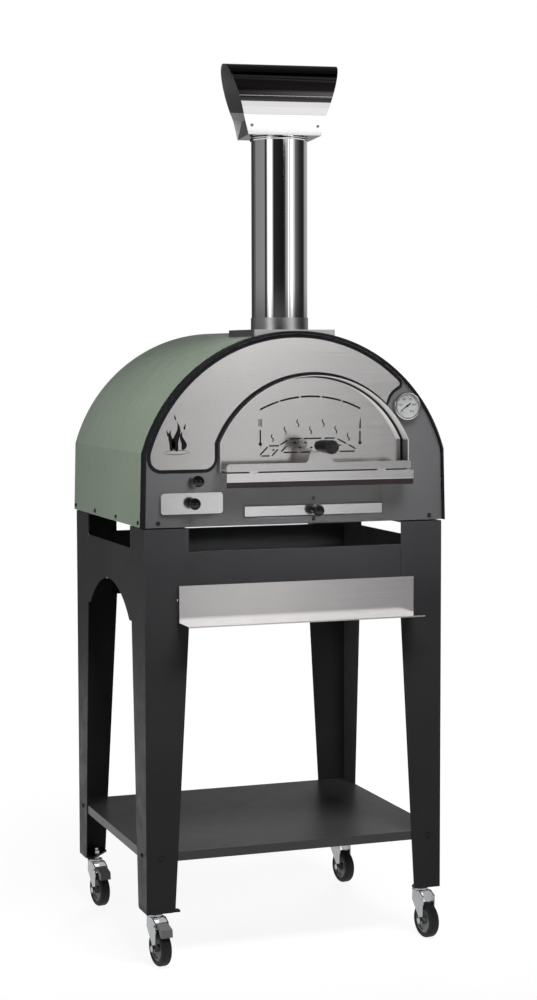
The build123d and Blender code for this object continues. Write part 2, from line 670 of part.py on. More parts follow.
def shell():
    """The arched outer cover, behind the front rim."""
    cover = prism_y(body_profile(0) - body_profile(SHELL_SHEET, BODY_BOTTOM_Z - 1), RIM_BACK_Y, BODY_D)
    cover -= flue_cut(FLUE_HOLE_GAP, BODY_TOP_Z - 60, BODY_TOP_Z + 10)
    for y in SHELL_SCREW_Y:
        for side in (-1, 1):
            x = sorted((side * (BODY_W / 2 - 12), side * (BODY_W / 2 + 4)))
            cover -= rod_x(SCREW_R + HOLE_GAP, y, SHELL_SCREW_Z, *x)
    return cover


def ring_y(outer_inset, inner_inset, y0, y1):
    """A band that follows the body's outline, open at the bottom."""
    profile = body_profile(outer_inset) - body_profile(inner_inset, BODY_BOTTOM_Z - 1)
    return prism_y(profile, y0, y1)


def front_rim():
    """Trim round the front: an outer band, a narrow front face and a return to the panel."""
    rim = ring_y(0, RIM_SHEET, RIM_FRONT_Y, RIM_BACK_Y - SKIN_GAP)
    rim += ring_y(0, RIM_FACE_W, RIM_FRONT_Y, RIM_FRONT_Y + RIM_SHEET)
    rim += ring_y(RIM_FACE_W - RIM_SHEET, RIM_FACE_W, RIM_FRONT_Y, -SKIN_GAP)
    front = [e for e in rim.edges() if abs(e.center().Y - RIM_FRONT_Y) < 0.01 and e.length > 100]
    return chamfer(front, RIM_CHAMFER)


def rounded(x, z, radius):
    """An XZ rectangle with rounded corners."""
    face = RectangleRounded(x[1] - x[0], z[1] - z[0], radius)
    return Pos((x[0] + x[1]) / 2, (z[0] + z[1]) / 2) * face


def front_panel():
    """The dark front, with the mouth and the openings of the controls."""
    panel = prism_y(body_profile(RIM_SHEET + SKIN_GAP), 0, PANEL_SHEET)
    cut = (-1, PANEL_SHEET + 1)
    sill_under = SILL_TOP_Z - SILL_SHEET - SKIN_GAP
    panel -= prism_y(mouth_profile(-SKIN_GAP, sill_under), *cut)
    ember_x = (EMBER_FRONT_X[0] + EMBER_LAP, EMBER_FRONT_X[1] - EMBER_LAP)
    ember_z = (EMBER_FRONT_Z[0] + EMBER_LAP, EMBER_FRONT_Z[1] - EMBER_LAP)
    panel -= prism_y(rounded(ember_x, ember_z, 3), *cut)
    gap = ASH_FRONT_GAP
    ash_x = (ASH_FRONT_X[0] - gap, ASH_FRONT_X[1] + gap)
    ash_z = (ASH_FRONT_Z[0] - gap, ASH_FRONT_Z[1] + gap)
    panel -= prism_y(rounded(ash_x, ash_z, 1), *cut)
    panel -= rod_y(ROD_R + SLIDE_GAP, GATE_X, GATE_ROD_Z, *cut)
    panel -= rod_y(GAUGE_STEM_R + HOLE_GAP, GAUGE_X, GAUGE_Z, *cut)
    for x, z in PANEL_SCREWS:
        panel -= rod_y(SCREW_R + HOLE_GAP, x, z, *cut)
    return panel


def facade_plate():
    """Stainless plate over the arch, cut away round the mouth and the thermometer."""
    y1 = -FACADE_STAND_OFF
    y0 = y1 - FACADE_SHEET
    plate = prism_y(body_profile(FACADE_INSET, FACADE_BOTTOM_Z), y0, y1)
    plate -= prism_y(mouth_profile(-FACADE_TO_COLLAR, FACADE_BOTTOM_Z - 1), y0 - 1, y1 + 1)
    bite = GAUGE_R + 16.5
    plate -= rod_y(bite, GAUGE_X, GAUGE_Z, y0 - 1, y1 + 1)
    far = (2 * GAUGE_X - MOUTH_X, 2 * GAUGE_Z - MOUTH_ARC_Z)
    low = MOUTH_ARC_Z - MOUTH_HALF
    under_gauge = outline([(MOUTH_X, MOUTH_ARC_Z), far, (far[0], low), (MOUTH_X, low)])
    plate -= prism_y(under_gauge, y0 - 1, y1 + 1)
    left = plate.edges().filter_by(Axis.Y).group_by(Axis.Z)[0]
    plate = fillet(left, FACADE_CORNER_R)
    tip = plate.edges().filter_by(Axis.Y).sort_by(Axis.X)[-1]
    plate = fillet(tip, FACADE_TIP_R)
    reach = ARC_R - FACADE_INSET - FACADE_STUD_INSET
    for angle in FACADE_STUD_ANGLES:
        x = reach * cos(radians(angle))
        z = ARC_Z + reach * sin(radians(angle))
        plate += rod_y(FACADE_STUD_R, x, z, y1, 0)
    return plate


def rear_panel():
    """Rear wall set just inside the shell."""
    y1 = BODY_D - REAR_PANEL_INSET
    return prism_y(body_profile(SHELL_SHEET + SKIN_GAP), y1 - PANEL_SHEET, y1)


def panel_screws():
    return [Pos(x, 0, z) * Rot(90, 0, 0) * button_screw(8) for x, z in PANEL_SCREWS]


# ---- inner oven ----
def vault():
    """The steel baking chamber: tunnel, front wall round the mouth, back wall and flue hole."""
    z = HEARTH_FRAME_TOP_Z
    y0, y1 = VAULT_Y
    outer = body_profile(VAULT_INSET, z)
    chamber = prism_y(outer, y0, y1)
    hollow = body_profile(VAULT_INSET + VAULT_SHEET, z - 1)
    chamber -= prism_y(hollow, y0 + VAULT_SHEET, y1 - VAULT_SHEET)
    opening = mouth_profile(COLLAR_SHEET, z - 1)
    chamber -= prism_y(opening, y0 - 1, y0 + VAULT_SHEET + 1)
    chamber -= flue_cut(SKIN_GAP, BODY_TOP_Z - 60, BODY_TOP_Z)
    chamber -= rod_y(ROD_R + SLIDE_GAP, GATE_X, GATE_ROD_Z, y0 - 1, y0 + VAULT_SHEET + 1)
    return chamber - rod_y(GAUGE_STEM_R + HOLE_GAP, GAUGE_X, GAUGE_Z, y0 - 1, y0 + VAULT_SHEET + 1)


def insulation():
    """Fibre blanket round the vault."""
    z = HEARTH_FRAME_TOP_Z
    y0, y1 = VAULT_Y
    outer = body_profile(SHELL_SHEET + SKIN_GAP, z)
    inner = body_profile(VAULT_INSET - SKIN_GAP, z - 1)
    back = BODY_D - REAR_PANEL_INSET - PANEL_SHEET - SKIN_GAP
    blanket = prism_y(outer, y0, back) - prism_y(inner, y0 - 1, y1 + SKIN_GAP)
    return blanket - flue_cut(FLUE_HOLE_GAP, BODY_TOP_Z - 80, BODY_TOP_Z + 10)


def hearth_frame():
    """A bench of sheet steel that carries the hearth, with the ember chute under the grate."""
    half = body_half(HEARTH_FRAME_TOP_Z) - VAULT_INSET
    t = HEARTH_FRAME_SHEET
    y = VAULT_Y
    top = HEARTH_FRAME_TOP_Z
    floor = BODY_BOTTOM_Z + BASE_SHEET
    bench = block((-half, half), y, (floor, top))
    bench -= block((-half + t, half - t), (y[0] - 1, y[1] - t), (floor - 1, top - t))
    x0, x1 = chute_x()
    chute_y = (y[0] + 58, y[1] - 72)
    low = EMBER_FRONT_Z[1] - 1
    bench += block((x0 - t, x1 + t), (chute_y[0] - t, chute_y[1] + t), (low, top - t))
    return bench - block((x0, x1), chute_y, (low - 1, top + 1))


def body_half(z):
    """Half the body's width at a height on its straight sides."""
    return KINK_HALF + (BODY_W / 2 - KINK_HALF) * (KINK_Z - z) / (KINK_Z - BODY_BOTTOM_Z)


def grate_x():
    """Left and right edges of the fire grate, beside the vault's wall."""
    x0 = -(body_half(HEARTH_FRAME_TOP_Z) - VAULT_INSET - VAULT_SHEET) + 5
    return x0, x0 + GRATE_W


def chute_x():
    x0, x1 = grate_x()
    return x0 + GRATE_RAIL_W + 14, x1 - GRATE_RAIL_W - 10


def fire_grate():
    """Cast grate on two side rails; the gate slides between the rails."""
    x0, x1 = grate_x()
    y = (VAULT_Y[0] + VAULT_SHEET + 2, VAULT_Y[1] - VAULT_SHEET - 2)
    top = HEARTH_FRAME_TOP_Z + TILE_T
    grate = block((x0, x1), y, (top - GRATE_T, top))
    step = GRATE_PITCH
    count = int((y[1] - y[0] - 2 * step) // step)
    start = (y[0] + y[1] - (count - 1) * step) / 2
    cut = []
    for k in range(count):
        yy = start + k * step
        size = (x1 - x0 - 36, GRATE_SLOT_W, GRATE_T + 2)
        cut.append(Pos((x0 + x1) / 2, yy, top - GRATE_T / 2) * Box(*size))
    grate -= cut
    for a, b in ((x0, x0 + GRATE_RAIL_W), (x1 - GRATE_RAIL_W, x1)):
        grate += block((a, b), y, (HEARTH_FRAME_TOP_Z, top - GRATE_T))
    return grate


def hearth_tiles():
    """Four fireclay tiles beside the grate."""
    x0 = grate_x()[1] + 2
    x1 = body_half(HEARTH_FRAME_TOP_Z) - VAULT_INSET - VAULT_SHEET - 6
    y0, y1 = VAULT_Y[0] + VAULT_SHEET + 2, VAULT_Y[1] - VAULT_SHEET - 2
    w = (x1 - x0 - TILE_JOINT) / 2
    d = (y1 - y0 - TILE_JOINT) / 2
    z = (HEARTH_FRAME_TOP_Z, HEARTH_FRAME_TOP_Z + TILE_T)
    tiles = []
    for i in range(2):
        for j in range(2):
            x = x0 + i * (w + TILE_JOINT)
            y = y0 + j * (d + TILE_JOINT)
            tile = block((x, x + w), (y, y + d), z)
            tiles.append(chamfer(tile.faces().sort_by(Axis.Z)[-1].edges(), 1.5))
    return tiles


# ---- controls ----
def ball_knob(x, z, centre_y, seat_y):
    """A ball on a short neck that ends at seat_y."""
    ball = Pos(x, centre_y, z) * Sphere(KNOB_R)
    return ball + rod_y(KNOB_NECK_R, x, z, centre_y, seat_y)


def ash_gate():
    """Slotted gate on the hearth frame with an upstand, and the rod that pulls it."""
    x0, x1 = grate_x()
    gate_x = (x0 + GRATE_RAIL_W + 2, x1 - GRATE_RAIL_W - 2)
    y = (VAULT_Y[0] + 56, VAULT_Y[1] - 50)
    z0 = HEARTH_FRAME_TOP_Z + SLIDE_GAP
    gate = block(gate_x, y, (z0, z0 + GATE_T))
    count = int((y[1] - y[0] - 60) // GATE_SLOT_PITCH)
    mid = (gate_x[0] + gate_x[1]) / 2
    cut = []
    for k in range(count):
        yy = y[0] + 40 + k * GATE_SLOT_PITCH
        cut.append(Pos(mid, yy, z0) * Box(70, GATE_SLOT_PITCH * 0.4, GATE_T * 4))
    gate -= cut
    top = HEARTH_FRAME_TOP_Z + TILE_T - GRATE_T - 1
    gate += block((GATE_X - 12, GATE_X + 12), (y[0], y[0] + 3), (z0, top))
    return gate + rod_y(ROD_R, GATE_X, GATE_ROD_Z, GATE_KNOB_Y + KNOB_R - KNOB_FLAT, y[0])


def gate_knob():
    flat = GATE_KNOB_Y + KNOB_R - KNOB_FLAT
    ball = Pos(GATE_X, GATE_KNOB_Y, GATE_ROD_Z) * Sphere(KNOB_R)
    return ball - rod_y(KNOB_R, GATE_X, GATE_ROD_Z, flat, flat + KNOB_R)


def tray(x, y, z):
    """An open box of thin sheet."""
    t = DRAWER_SHEET
    return block(x, y, z) - block((x[0] + t, x[1] - t), (y[0] + t, y[1] - t), (z[0] + t, z[1] + 1))


def drawer_lift():
    """Height of the runners' top over the base pan for each drawer."""
    ember = EMBER_FRONT_Z[0] + EMBER_LAP + 1
    ash = ASH_FRONT_Z[0] + 1
    return ember, ash


def ember_tray_x():
    return EMBER_FRONT_X[0] + EMBER_LAP + 2, EMBER_FRONT_X[1] - EMBER_LAP - 2


def ash_tray_x():
    return ASH_FRONT_X[0] + 6, ASH_FRONT_X[1] - 6


def ember_drawer():
    """Front plate with a tray behind it, under the ember chute."""
    y0 = EMBER_FRONT_Y
    plate = prism_y(rounded(EMBER_FRONT_X, EMBER_FRONT_Z, EMBER_FRONT_R), y0, y0 + 1.5)
    rim = plate.faces().sort_by(Axis.Y)[0].edges()
    plate = fillet(rim, 0.7)
    z = (drawer_lift()[0], EMBER_FRONT_Z[1] - EMBER_LAP - 3)
    return plate + tray(ember_tray_x(), (y0 + 1.5, DRAWER_BACK_Y), z)


def ash_drawer():
    """A strip that closes its opening with a black gap all round, and a shallow tray."""
    plate = prism_y(rounded(ASH_FRONT_X, ASH_FRONT_Z, 0.8), -1.5, 0)
    z = (drawer_lift()[1], ASH_FRONT_Z[1] - 2)
    return plate + tray(ash_tray_x(), (0, DRAWER_BACK_Y), z)


def drawer_knob(x, z, seat_y):
    return ball_knob(x, z, DRAWER_KNOB_Y, seat_y)


def drawer_runners():
    """Angle rails on the base pan, two under each drawer."""
    floor = BODY_BOTTOM_Z + BASE_SHEET
    t = RUNNER_SHEET
    rails = []
    y = (8, DRAWER_BACK_Y)
    for (x0, x1), lift in zip((ember_tray_x(), ash_tray_x()), drawer_lift()):
        top = lift - SLIDE_GAP
        for edge, way in ((x0, 1), (x1, -1)):
            web = sorted((edge - way * 3, edge - way * (3 - t)))
            shelf = sorted((edge - way * 3, edge + way * RUNNER_W))
            rail = block(web, y, (floor, top)) + block(shelf, y, (top - t, top))
            foot = sorted((edge - way * 3, edge + way * RUNNER_W))
            rails.append(rail + block(foot, y, (floor, floor + t)))
    return rails


# ---- mouth and door ----
def mouth_collar():
    """The arched sleeve that stands out of the panel, with a fixing flange behind it."""
    sleeve = mouth_profile(0) - mouth_profile(COLLAR_SHEET, SILL_TOP_Z - 1)
    collar = prism_y(sleeve, COLLAR_FRONT_Y, VAULT_Y[0] - SKIN_GAP)
    flange = mouth_profile(-COLLAR_FLANGE) - mouth_profile(0, SILL_TOP_Z - 1)
    y0 = PANEL_SHEET + SKIN_GAP
    collar += prism_y(flange, y0, y0 + COLLAR_SHEET)
    return collar - rod_y(GAUGE_STEM_R + 2, GAUGE_X, GAUGE_Z, y0 - 1, y0 + COLLAR_SHEET + 1)


def landing_sill():
    """Folded sill in front of the mouth; its top runs in to the hearth."""
    t = SILL_SHEET
    face_low = SILL_TOP_Z - SILL_FACE_H
    half = SILL_W / 2
    outer = outline(
        [
            (SILL_FRONT_Y, SILL_TOP_Z),
            (SILL_FRONT_Y, face_low),
            (-SKIN_GAP, SILL_ROOT_Z),
            (-SKIN_GAP, SILL_TOP_Z),
        ]
    )
    inner = offset(outer, -t)
    x = (MOUTH_X - half, MOUTH_X + half)
    box = prism_x(outer, *x) - prism_x(inner, x[0] + t, x[1] - t)
    front = box.edges().filter_by(Axis.X).group_by(Axis.Y)[0]
    box = fillet(front, t)
    tongue = block(x, (-SKIN_GAP - t, VAULT_Y[0] + VAULT_SHEET + 1), (SILL_TOP_Z - t, SILL_TOP_Z))
    return box + tongue


def ray_slots():
    """Five slots along an arc at the top of the door."""
    pitch = (RAY_LENGTH + RAY_GAP) / RAY_RADIUS
    centre_z = RAY_TOP_Z - RAY_RADIUS
    slots = []
    for k in range(RAY_COUNT):
        mid = (k - (RAY_COUNT - 1) / 2) * pitch
        half = RAY_LENGTH / RAY_RADIUS / 2
        inner = RAY_RADIUS - RAY_W / 2
        outer = RAY_RADIUS + RAY_W / 2

        def at(radius, angle):
            return (MOUTH_X + radius * sin(angle), centre_z + radius * cos(angle))

        edges = [
            ThreePointArc(at(inner, mid - half), at(inner, mid), at(inner, mid + half)),
            ThreePointArc(
                at(inner, mid + half),
                at(RAY_RADIUS, mid + half + RAY_W / 2 / RAY_RADIUS),
                at(outer, mid + half),
            ),
            ThreePointArc(at(outer, mid + half), at(outer, mid), at(outer, mid - half)),
            ThreePointArc(
                at(outer, mid - half),
                at(RAY_RADIUS, mid - half - RAY_W / 2 / RAY_RADIUS),
                at(inner, mid - half),
            ),
        ]
        slots.append(make_face(edges))
    return slots


def tool_slots():
    """A two-pronged fork on the left and a palette knife on the right."""
    low, high = (SILL_TOP_Z + rise for rise in TOOL_RISE)
    left = MOUTH_X - TOOL_X
    right = MOUTH_X + TOOL_X
    shaft = (high - low) * 0.58
    slots = [Pos(left, low + shaft / 2) * SlotOverall(shaft, 3.6, rotation=90)]
    slots.append(Pos(left, low + 2) * Circle(4))
    for x in (-3.2, 0, 3.2):
        slots.append(Pos(left + x, high - 9) * SlotOverall(17, 1.8, rotation=90))
    slots.append(Pos(right, low + shaft * 0.42) * SlotOverall(shaft * 0.84, 3.6, rotation=90))
    slots.append(Pos(right, low + 2) * Circle(4))
    blade = [(right - 2.2, low + shaft), (right + 2.2, low + shaft), (right + 2.2, high), (right - 0.6, high - 6)]
    slots.append(outline(blade))
    return slots


def steam_slots():
    """Short S-curves that rise over the board."""
    slots = []
    step = STEAM_SPAN / (len(STEAM_RISE) - 1)
    for k, rise in enumerate(STEAM_RISE):
        x = MOUTH_X - STEAM_SPAN / 2 + k * step
        z = SILL_TOP_Z + rise
        low = ThreePointArc((x, z - STEAM_H / 2), (x + 2.2, z - STEAM_H / 4), (x, z))
        high = ThreePointArc((x, z), (x - 2.2, z + STEAM_H / 4), (x, z + STEAM_H / 2))
        slots.append(trace(low, STEAM_W) + trace(high, STEAM_W))
    return slots


def dash(start, end, width):
    """A straight slot with round ends between two points."""
    dx, dz = end[0] - start[0], end[1] - start[1]
    length = sqrt(dx**2 + dz**2)
    middle = ((start[0] + end[0]) / 2, (start[1] + end[1]) / 2)
    return Pos(*middle) * SlotOverall(length + width, width, rotation=degrees(atan2(dz, dx)))


def board_slots():
    """A baking board in perspective, drawn in dashes, with a short handle and vent dots."""
    x = MOUTH_X
    low, top = (SILL_TOP_Z + rise for rise in BOARD_RISE)
    lines = [
        ((x - 48, top), (x - 24, top)),
        ((x - 14, top), (x + 24, top)),
        ((x + 34, top), (x + 56, top)),
        ((x + 66, top - 3), (x + 84, top - 12)),
        ((x + 92, top - 16), (x + 106, top - 24)),
        ((x + 104, low), (x + 70, low)),
        ((x + 60, low), (x + 20, low)),
        ((x + 10, low), (x - 22, low)),
        ((x - 32, low), (x - 62, low)),
        ((x - 68, low + 3), (x - 58, low + 13)),
        ((x - 70, top - 12), (x - 56, top - 4)),
        ((x - 76, top - 15), (x - 96, top - 15)),
        ((x - 102, top - 18), (x - 118, low - 4)),
        ((x - 114, low - 7), (x - 98, low - 7)),
        ((x - 90, low - 6), (x - 78, low + 6)),
    ]
    slots = [dash(a, b, BOARD_LINE_W) for a, b in lines]
    dots = [(-38, -9), (-12, -9), (14, -9), (70, -16), (-26, -20), (2, -20), (-88, -24)]
    return slots + [Pos(x + dx, top + dz) * Ellipse(3.2, 1.8) for dx, dz in dots]


def door_panel():
    """Folded sheet: arched face with its cut-outs, a floor, a front lip and the grip's tab."""
    t = DOOR_SHEET
    low = SILL_TOP_Z + DOOR_RAISE + SKIN_GAP
    inset = COLLAR_SHEET + DOOR_GAP
    face = prism_y(mouth_profile(inset, low), DOOR_FACE_Y, DOOR_FACE_Y + t)
    cutters = [prism_y(s, DOOR_FACE_Y - 1, DOOR_FACE_Y + t + 1) for s in ray_slots() + tool_slots()]
    cutters += [prism_y(s, DOOR_FACE_Y - 1, DOOR_FACE_Y + t + 1) for s in steam_slots() + board_slots()]
    for cutter in cutters:
        face -= cutter
    half = MOUTH_HALF - inset - 0.5
    face += block((MOUTH_X - half, MOUTH_X + half), (DOOR_LIP_Y, DOOR_FACE_Y + t), (low, low + t))
    lip_x = (MOUTH_X - DOOR_LIP_HALF, MOUTH_X + DOOR_LIP_HALF)
    lip = prism_y(rounded(lip_x, (low, DOOR_LIP_TOP_Z), DOOR_LIP_R), DOOR_LIP_Y, DOOR_LIP_Y + t)
    lip += block(lip_x, (DOOR_LIP_Y, DOOR_LIP_Y + t), (low, low + DOOR_LIP_R + 1))
    front = [e for e in lip.faces().sort_by(Axis.Y)[0].edges() if e.center().Z > low + 1]
    lip = fillet(front, t * 0.4)
    tab = grip_tab()
    skids = [
        block((MOUTH_X + x - 10, MOUTH_X + x + 10), (DOOR_LIP_Y + 12, DOOR_FACE_Y - 4), (low - DOOR_RAISE, low))
        for x in (-150, 150)
    ]
    door = face + lip + tab
    for skid in skids:
        door += skid
    return door


def grip_tab():
    """Upright tab on the lip: concave shoulders at its foot and a round lug at its top."""
    t = DOOR_SHEET
    base = DOOR_LIP_TOP_Z
    half0, half1 = TAB_BASE_W / 2, TAB_TOP_W / 2
    x = MOUTH_X
    edges = [
        Line((x - half0, base - 4), (x + half0, base - 4)),
        Line((x + half0, base - 4), (x + half0, base)),
        ThreePointArc((x + half0, base), (x + half1 + 3.5, base + 5), (x + half1 + 1, base + 12)),
        Line((x + half1 + 1, base + 12), (x + half1 - 2, TAB_TOP_Z)),
        Line((x + half1 - 2, TAB_TOP_Z), (x - half1 + 2, TAB_TOP_Z)),
        Line((x - half1 + 2, TAB_TOP_Z), (x - half1 - 1, base + 12)),
        ThreePointArc((x - half1 - 1, base + 12), (x - half1 - 3.5, base + 5), (x - half0, base)),
        Line((x - half0, base), (x - half0, base - 4)),
    ]
    tab = prism_y(make_face(edges), DOOR_LIP_Y, DOOR_LIP_Y + t)
    tab += rod_y(GRIP_WASHER_R, x, GRIP_Z, DOOR_LIP_Y, DOOR_LIP_Y + t)
    return tab - rod_y(GRIP_BOLT_R + HOLE_GAP, x, GRIP_Z, DOOR_LIP_Y - 1, DOOR_LIP_Y + t + 1)


def door_core():
    """Dark insulated pad behind the door's face."""
    low = SILL_TOP_Z + DOOR_RAISE + DOOR_SHEET + 2
    y0 = DOOR_FACE_Y + DOOR_SHEET + SKIN_GAP
    core = prism_y(mouth_profile(COLLAR_SHEET + DOOR_GAP + DOOR_CORE_INSET, low), y0, y0 + DOOR_CORE_T)
    return core


def door_grip():
    """A round black grip, slightly waisted, on the bolt."""
    y0 = DOOR_LIP_Y - 1.0
    waist = GRIP_R - 2.5
    profile = make_face(
        [
            Line((0, 0), (waist, 0)),
            ThreePointArc((waist, 0), (GRIP_R - 0.6, GRIP_L * 0.4), (GRIP_R, GRIP_L - 14)),
            ThreePointArc((GRIP_R, GRIP_L - 14), (GRIP_R * 0.86, GRIP_L - 3.5), (GRIP_R * 0.55, GRIP_L)),
            Line((GRIP_R * 0.55, GRIP_L), (0, GRIP_L)),
            Line((0, GRIP_L), (0, 0)),
        ]
    )
    grip = revolve(Plane.XZ * profile, Axis.Z)
    grip = Pos(MOUTH_X, y0, GRIP_Z) * Rot(90, 0, 0) * grip
    return grip - rod_y(GRIP_BOLT_R + SKIN_GAP, MOUTH_X, GRIP_Z, y0 - 30, y0 + 1)


def grip_bolt():
    """Bolt, washer and cap nut behind the tab."""
    y0 = DOOR_LIP_Y + DOOR_SHEET
    bolt = rod_y(GRIP_BOLT_R, MOUTH_X, GRIP_Z, DOOR_LIP_Y - 28, y0 + 12)
    bolt += rod_y(GRIP_WASHER_R, MOUTH_X, GRIP_Z, y0, y0 + 3)
    bolt += rod_y(GRIP_WASHER_R - 2.5, MOUTH_X, GRIP_Z, y0 + 3, y0 + 14)
    spacer = rod_y(GRIP_WASHER_R - 1, MOUTH_X, GRIP_Z, DOOR_LIP_Y - 1.0 + SKIN_GAP, DOOR_LIP_Y)
    return fillet(bolt.faces().sort_by(Axis.Y)[-1].edges(), 3) + spacer


# ---- thermometer ----
def gauge_case():
    """Case with bezel, and the probe through panel and vault."""
    y0 = GAUGE_FRONT_Y
    case = rod_y(GAUGE_R - 1.5, GAUGE_X, GAUGE_Z, y0 + 6, 0)
    bezel = rod_y(GAUGE_R, GAUGE_X, GAUGE_Z, y0, y0 + 9)
    bezel = fillet(bezel.faces().sort_by(Axis.Y)[0].edges(), 2.5)
    body = case + bezel + rod_y(GAUGE_STEM_R, GAUGE_X, GAUGE_Z, 0, GAUGE_STEM_L)
    return body - rod_y(GAUGE_DIAL_R + SKIN_GAP, GAUGE_X, GAUGE_Z, y0 - 1, y0 + 8)


def gauge_dial():
    y0 = GAUGE_FRONT_Y + 6.8
    dial = rod_y(GAUGE_DIAL_R, GAUGE_X, GAUGE_Z, y0, GAUGE_FRONT_Y + 8)
    return dial - rod_y(0.9, GAUGE_X, GAUGE_Z, y0 - 1, y0 + 3)


def gauge_lens():
    y0 = GAUGE_FRONT_Y + 1.6
    return rod_y(GAUGE_DIAL_R, GAUGE_X, GAUGE_Z, y0, y0 + 1.5)


def gauge_needle():
    """Pointer with a short tail and a hub on its spindle."""
    y = (GAUGE_FRONT_Y + 4.4, GAUGE_FRONT_Y + 5.2)
    shape = outline([(-NEEDLE_TAIL, -1.6), (-NEEDLE_TAIL, 1.6), (0, 1.3), (NEEDLE_L, 0.4), (NEEDLE_L, -0.4), (0, -1.3)])
    needle = prism_y(Pos(GAUGE_X, GAUGE_Z) * Rot(0, 0, NEEDLE_ANGLE) * shape, *y)
    needle += rod_y(2.4, GAUGE_X, GAUGE_Z, y[0] - 0.4, y[1] + 0.4)
    return needle + rod_y(0.8, GAUGE_X, GAUGE_Z, y[1], GAUGE_FRONT_Y + 7.8)


# ---- flue and cowl ----
def flue_base():
    """Saddle on the arch with the collar that holds the pipe."""
    t = FLUE_BASE_SHEET
    half = FLUE_BASE_HALF
    y0, y1 = FLUE_BASE_Y
    low = ARC_Z + sqrt(ARC_R**2 - half**2) - FLUE_BASE_DEPTH
    top = FLUE_BASE_TOP_Z
    box = block((-half, half), (y0, y1), (low, top))
    box = fillet(box.edges().filter_by(Axis.Z), 3)
    box -= block((-half + t, half - t), (y0 + t, y1 - t), (low - 1, top - t))
    box -= prism_y(Pos(0, ARC_Z) * Circle(ARC_R + SKIN_GAP), y0 - 1, y1 + 1)
    box += rod_z(FLUE_R + COLLAR_WALL + SKIN_GAP, 0, FLUE_Y, top - t, COLLAR_TOP_Z)
    return box - flue_cut(SKIN_GAP, low - 1, COLLAR_TOP_Z + 1)


def flue_pipe():
    return rod_z(FLUE_R, 0, FLUE_Y, FLUE_BOTTOM_Z, FLUE_TOP_Z) - rod_z(
        FLUE_R - FLUE_SHEET, 0, FLUE_Y, FLUE_BOTTOM_Z - 1, FLUE_TOP_Z + 1
    )


def cowl_at(shape):
    return Pos(0, FLUE_Y, 0) * Rot(0, 0, COWL_YAW) * shape


def cowl_tray():
    """Square tray with upturned ends and the spigot that turns in the pipe."""
    t = COWL_SHEET
    half_x = COWL_BOTTOM_HALF
    half_y = COWL_LEG_HALF - t - SKIN_GAP
    z = FLUE_TOP_Z + SLIDE_GAP
    floor = block((-half_x, half_x), (-half_y, half_y), (z, z + t))
    ends = block((-half_x, -half_x + t), (-half_y, half_y), (z, z + COWL_WALL_H))
    ends += block((half_x - t, half_x), (-half_y, half_y), (z, z + COWL_WALL_H))
    tabs = block((-half_x, half_x), (-half_y, -half_y + t), (z, z + COWL_WALL_H))
    tabs += block((-half_x, half_x), (half_y - t, half_y), (z, z + COWL_WALL_H))
    spigot_r = FLUE_R - FLUE_SHEET - SLIDE_GAP
    body = floor + ends + tabs + rod_z(spigot_r, 0, 0, z - SPIGOT_L, z + t / 2)
    body -= rod_z(spigot_r - t, 0, 0, z - SPIGOT_L - 1, z + t + 1)
    for x in (-COWL_SCREW_X, COWL_SCREW_X):
        body -= rod_y(COWL_SCREW_R + HOLE_GAP, x, COWL_SCREW_Z, -half_y - 2, half_y + 2)
    return cowl_at(body)


def cowl_hoop(radius, leg_half, low):
    """Keyhole outline of the cowl seen from its end: two legs and a round top."""
    centre = COWL_TOP_Z - COWL_R
    join = centre - sqrt(radius**2 - leg_half**2)
    legs = Polyline((-leg_half, join), (-leg_half, low), (leg_half, low), (leg_half, join))
    crown = ThreePointArc((leg_half, join), (0, centre + radius), (-leg_half, join))
    return make_face(legs.edges() + [crown])


def cowl_sheet():
    """Rolled sheet, cut back at both ends so that it is widest at the top."""
    low = FLUE_TOP_Z + SLIDE_GAP
    t = COWL_SHEET
    reach = COWL_TOP_HALF + 10
    hoop = prism_x(cowl_hoop(COWL_R, COWL_LEG_HALF, low), -reach, reach)
    hoop -= prism_x(cowl_hoop(COWL_R - t, COWL_LEG_HALF - t, low - 1), -reach - 1, reach + 1)
    knee = COWL_TOP_Z - COWL_R - sqrt(COWL_R**2 - COWL_LEG_HALF**2)
    knee_half = COWL_BOTTOM_HALF + 10
    side = outline(
        [
            (-COWL_BOTTOM_HALF, low),
            (COWL_BOTTOM_HALF, low),
            (knee_half, knee),
            (COWL_TOP_HALF, COWL_TOP_Z + 1),
            (-COWL_TOP_HALF, COWL_TOP_Z + 1),
            (-knee_half, knee),
        ]
    )
    sheet = hoop & prism_y(side, -COWL_R - 1, COWL_R + 1)
    for x in (-COWL_SCREW_X, COWL_SCREW_X):
        sheet -= rod_y(COWL_SCREW_R + HOLE_GAP, x, COWL_SCREW_Z, -COWL_R, COWL_R)
    return cowl_at(sheet)


def cowl_screws():
    screws = []
    for x in (-COWL_SCREW_X, COWL_SCREW_X):
        for way in (-1, 1):
            y = way * COWL_LEG_HALF
            head = rod_y(3.4, x, COWL_SCREW_Z, *sorted((y, y + way * 2)))
            shank = rod_y(COWL_SCREW_R, x, COWL_SCREW_Z, *sorted((y - way * 5, y)))
            screws.append(cowl_at(head + shank))
    return screws


# ---- write every node ----
os.makedirs("parts", exist_ok=True)

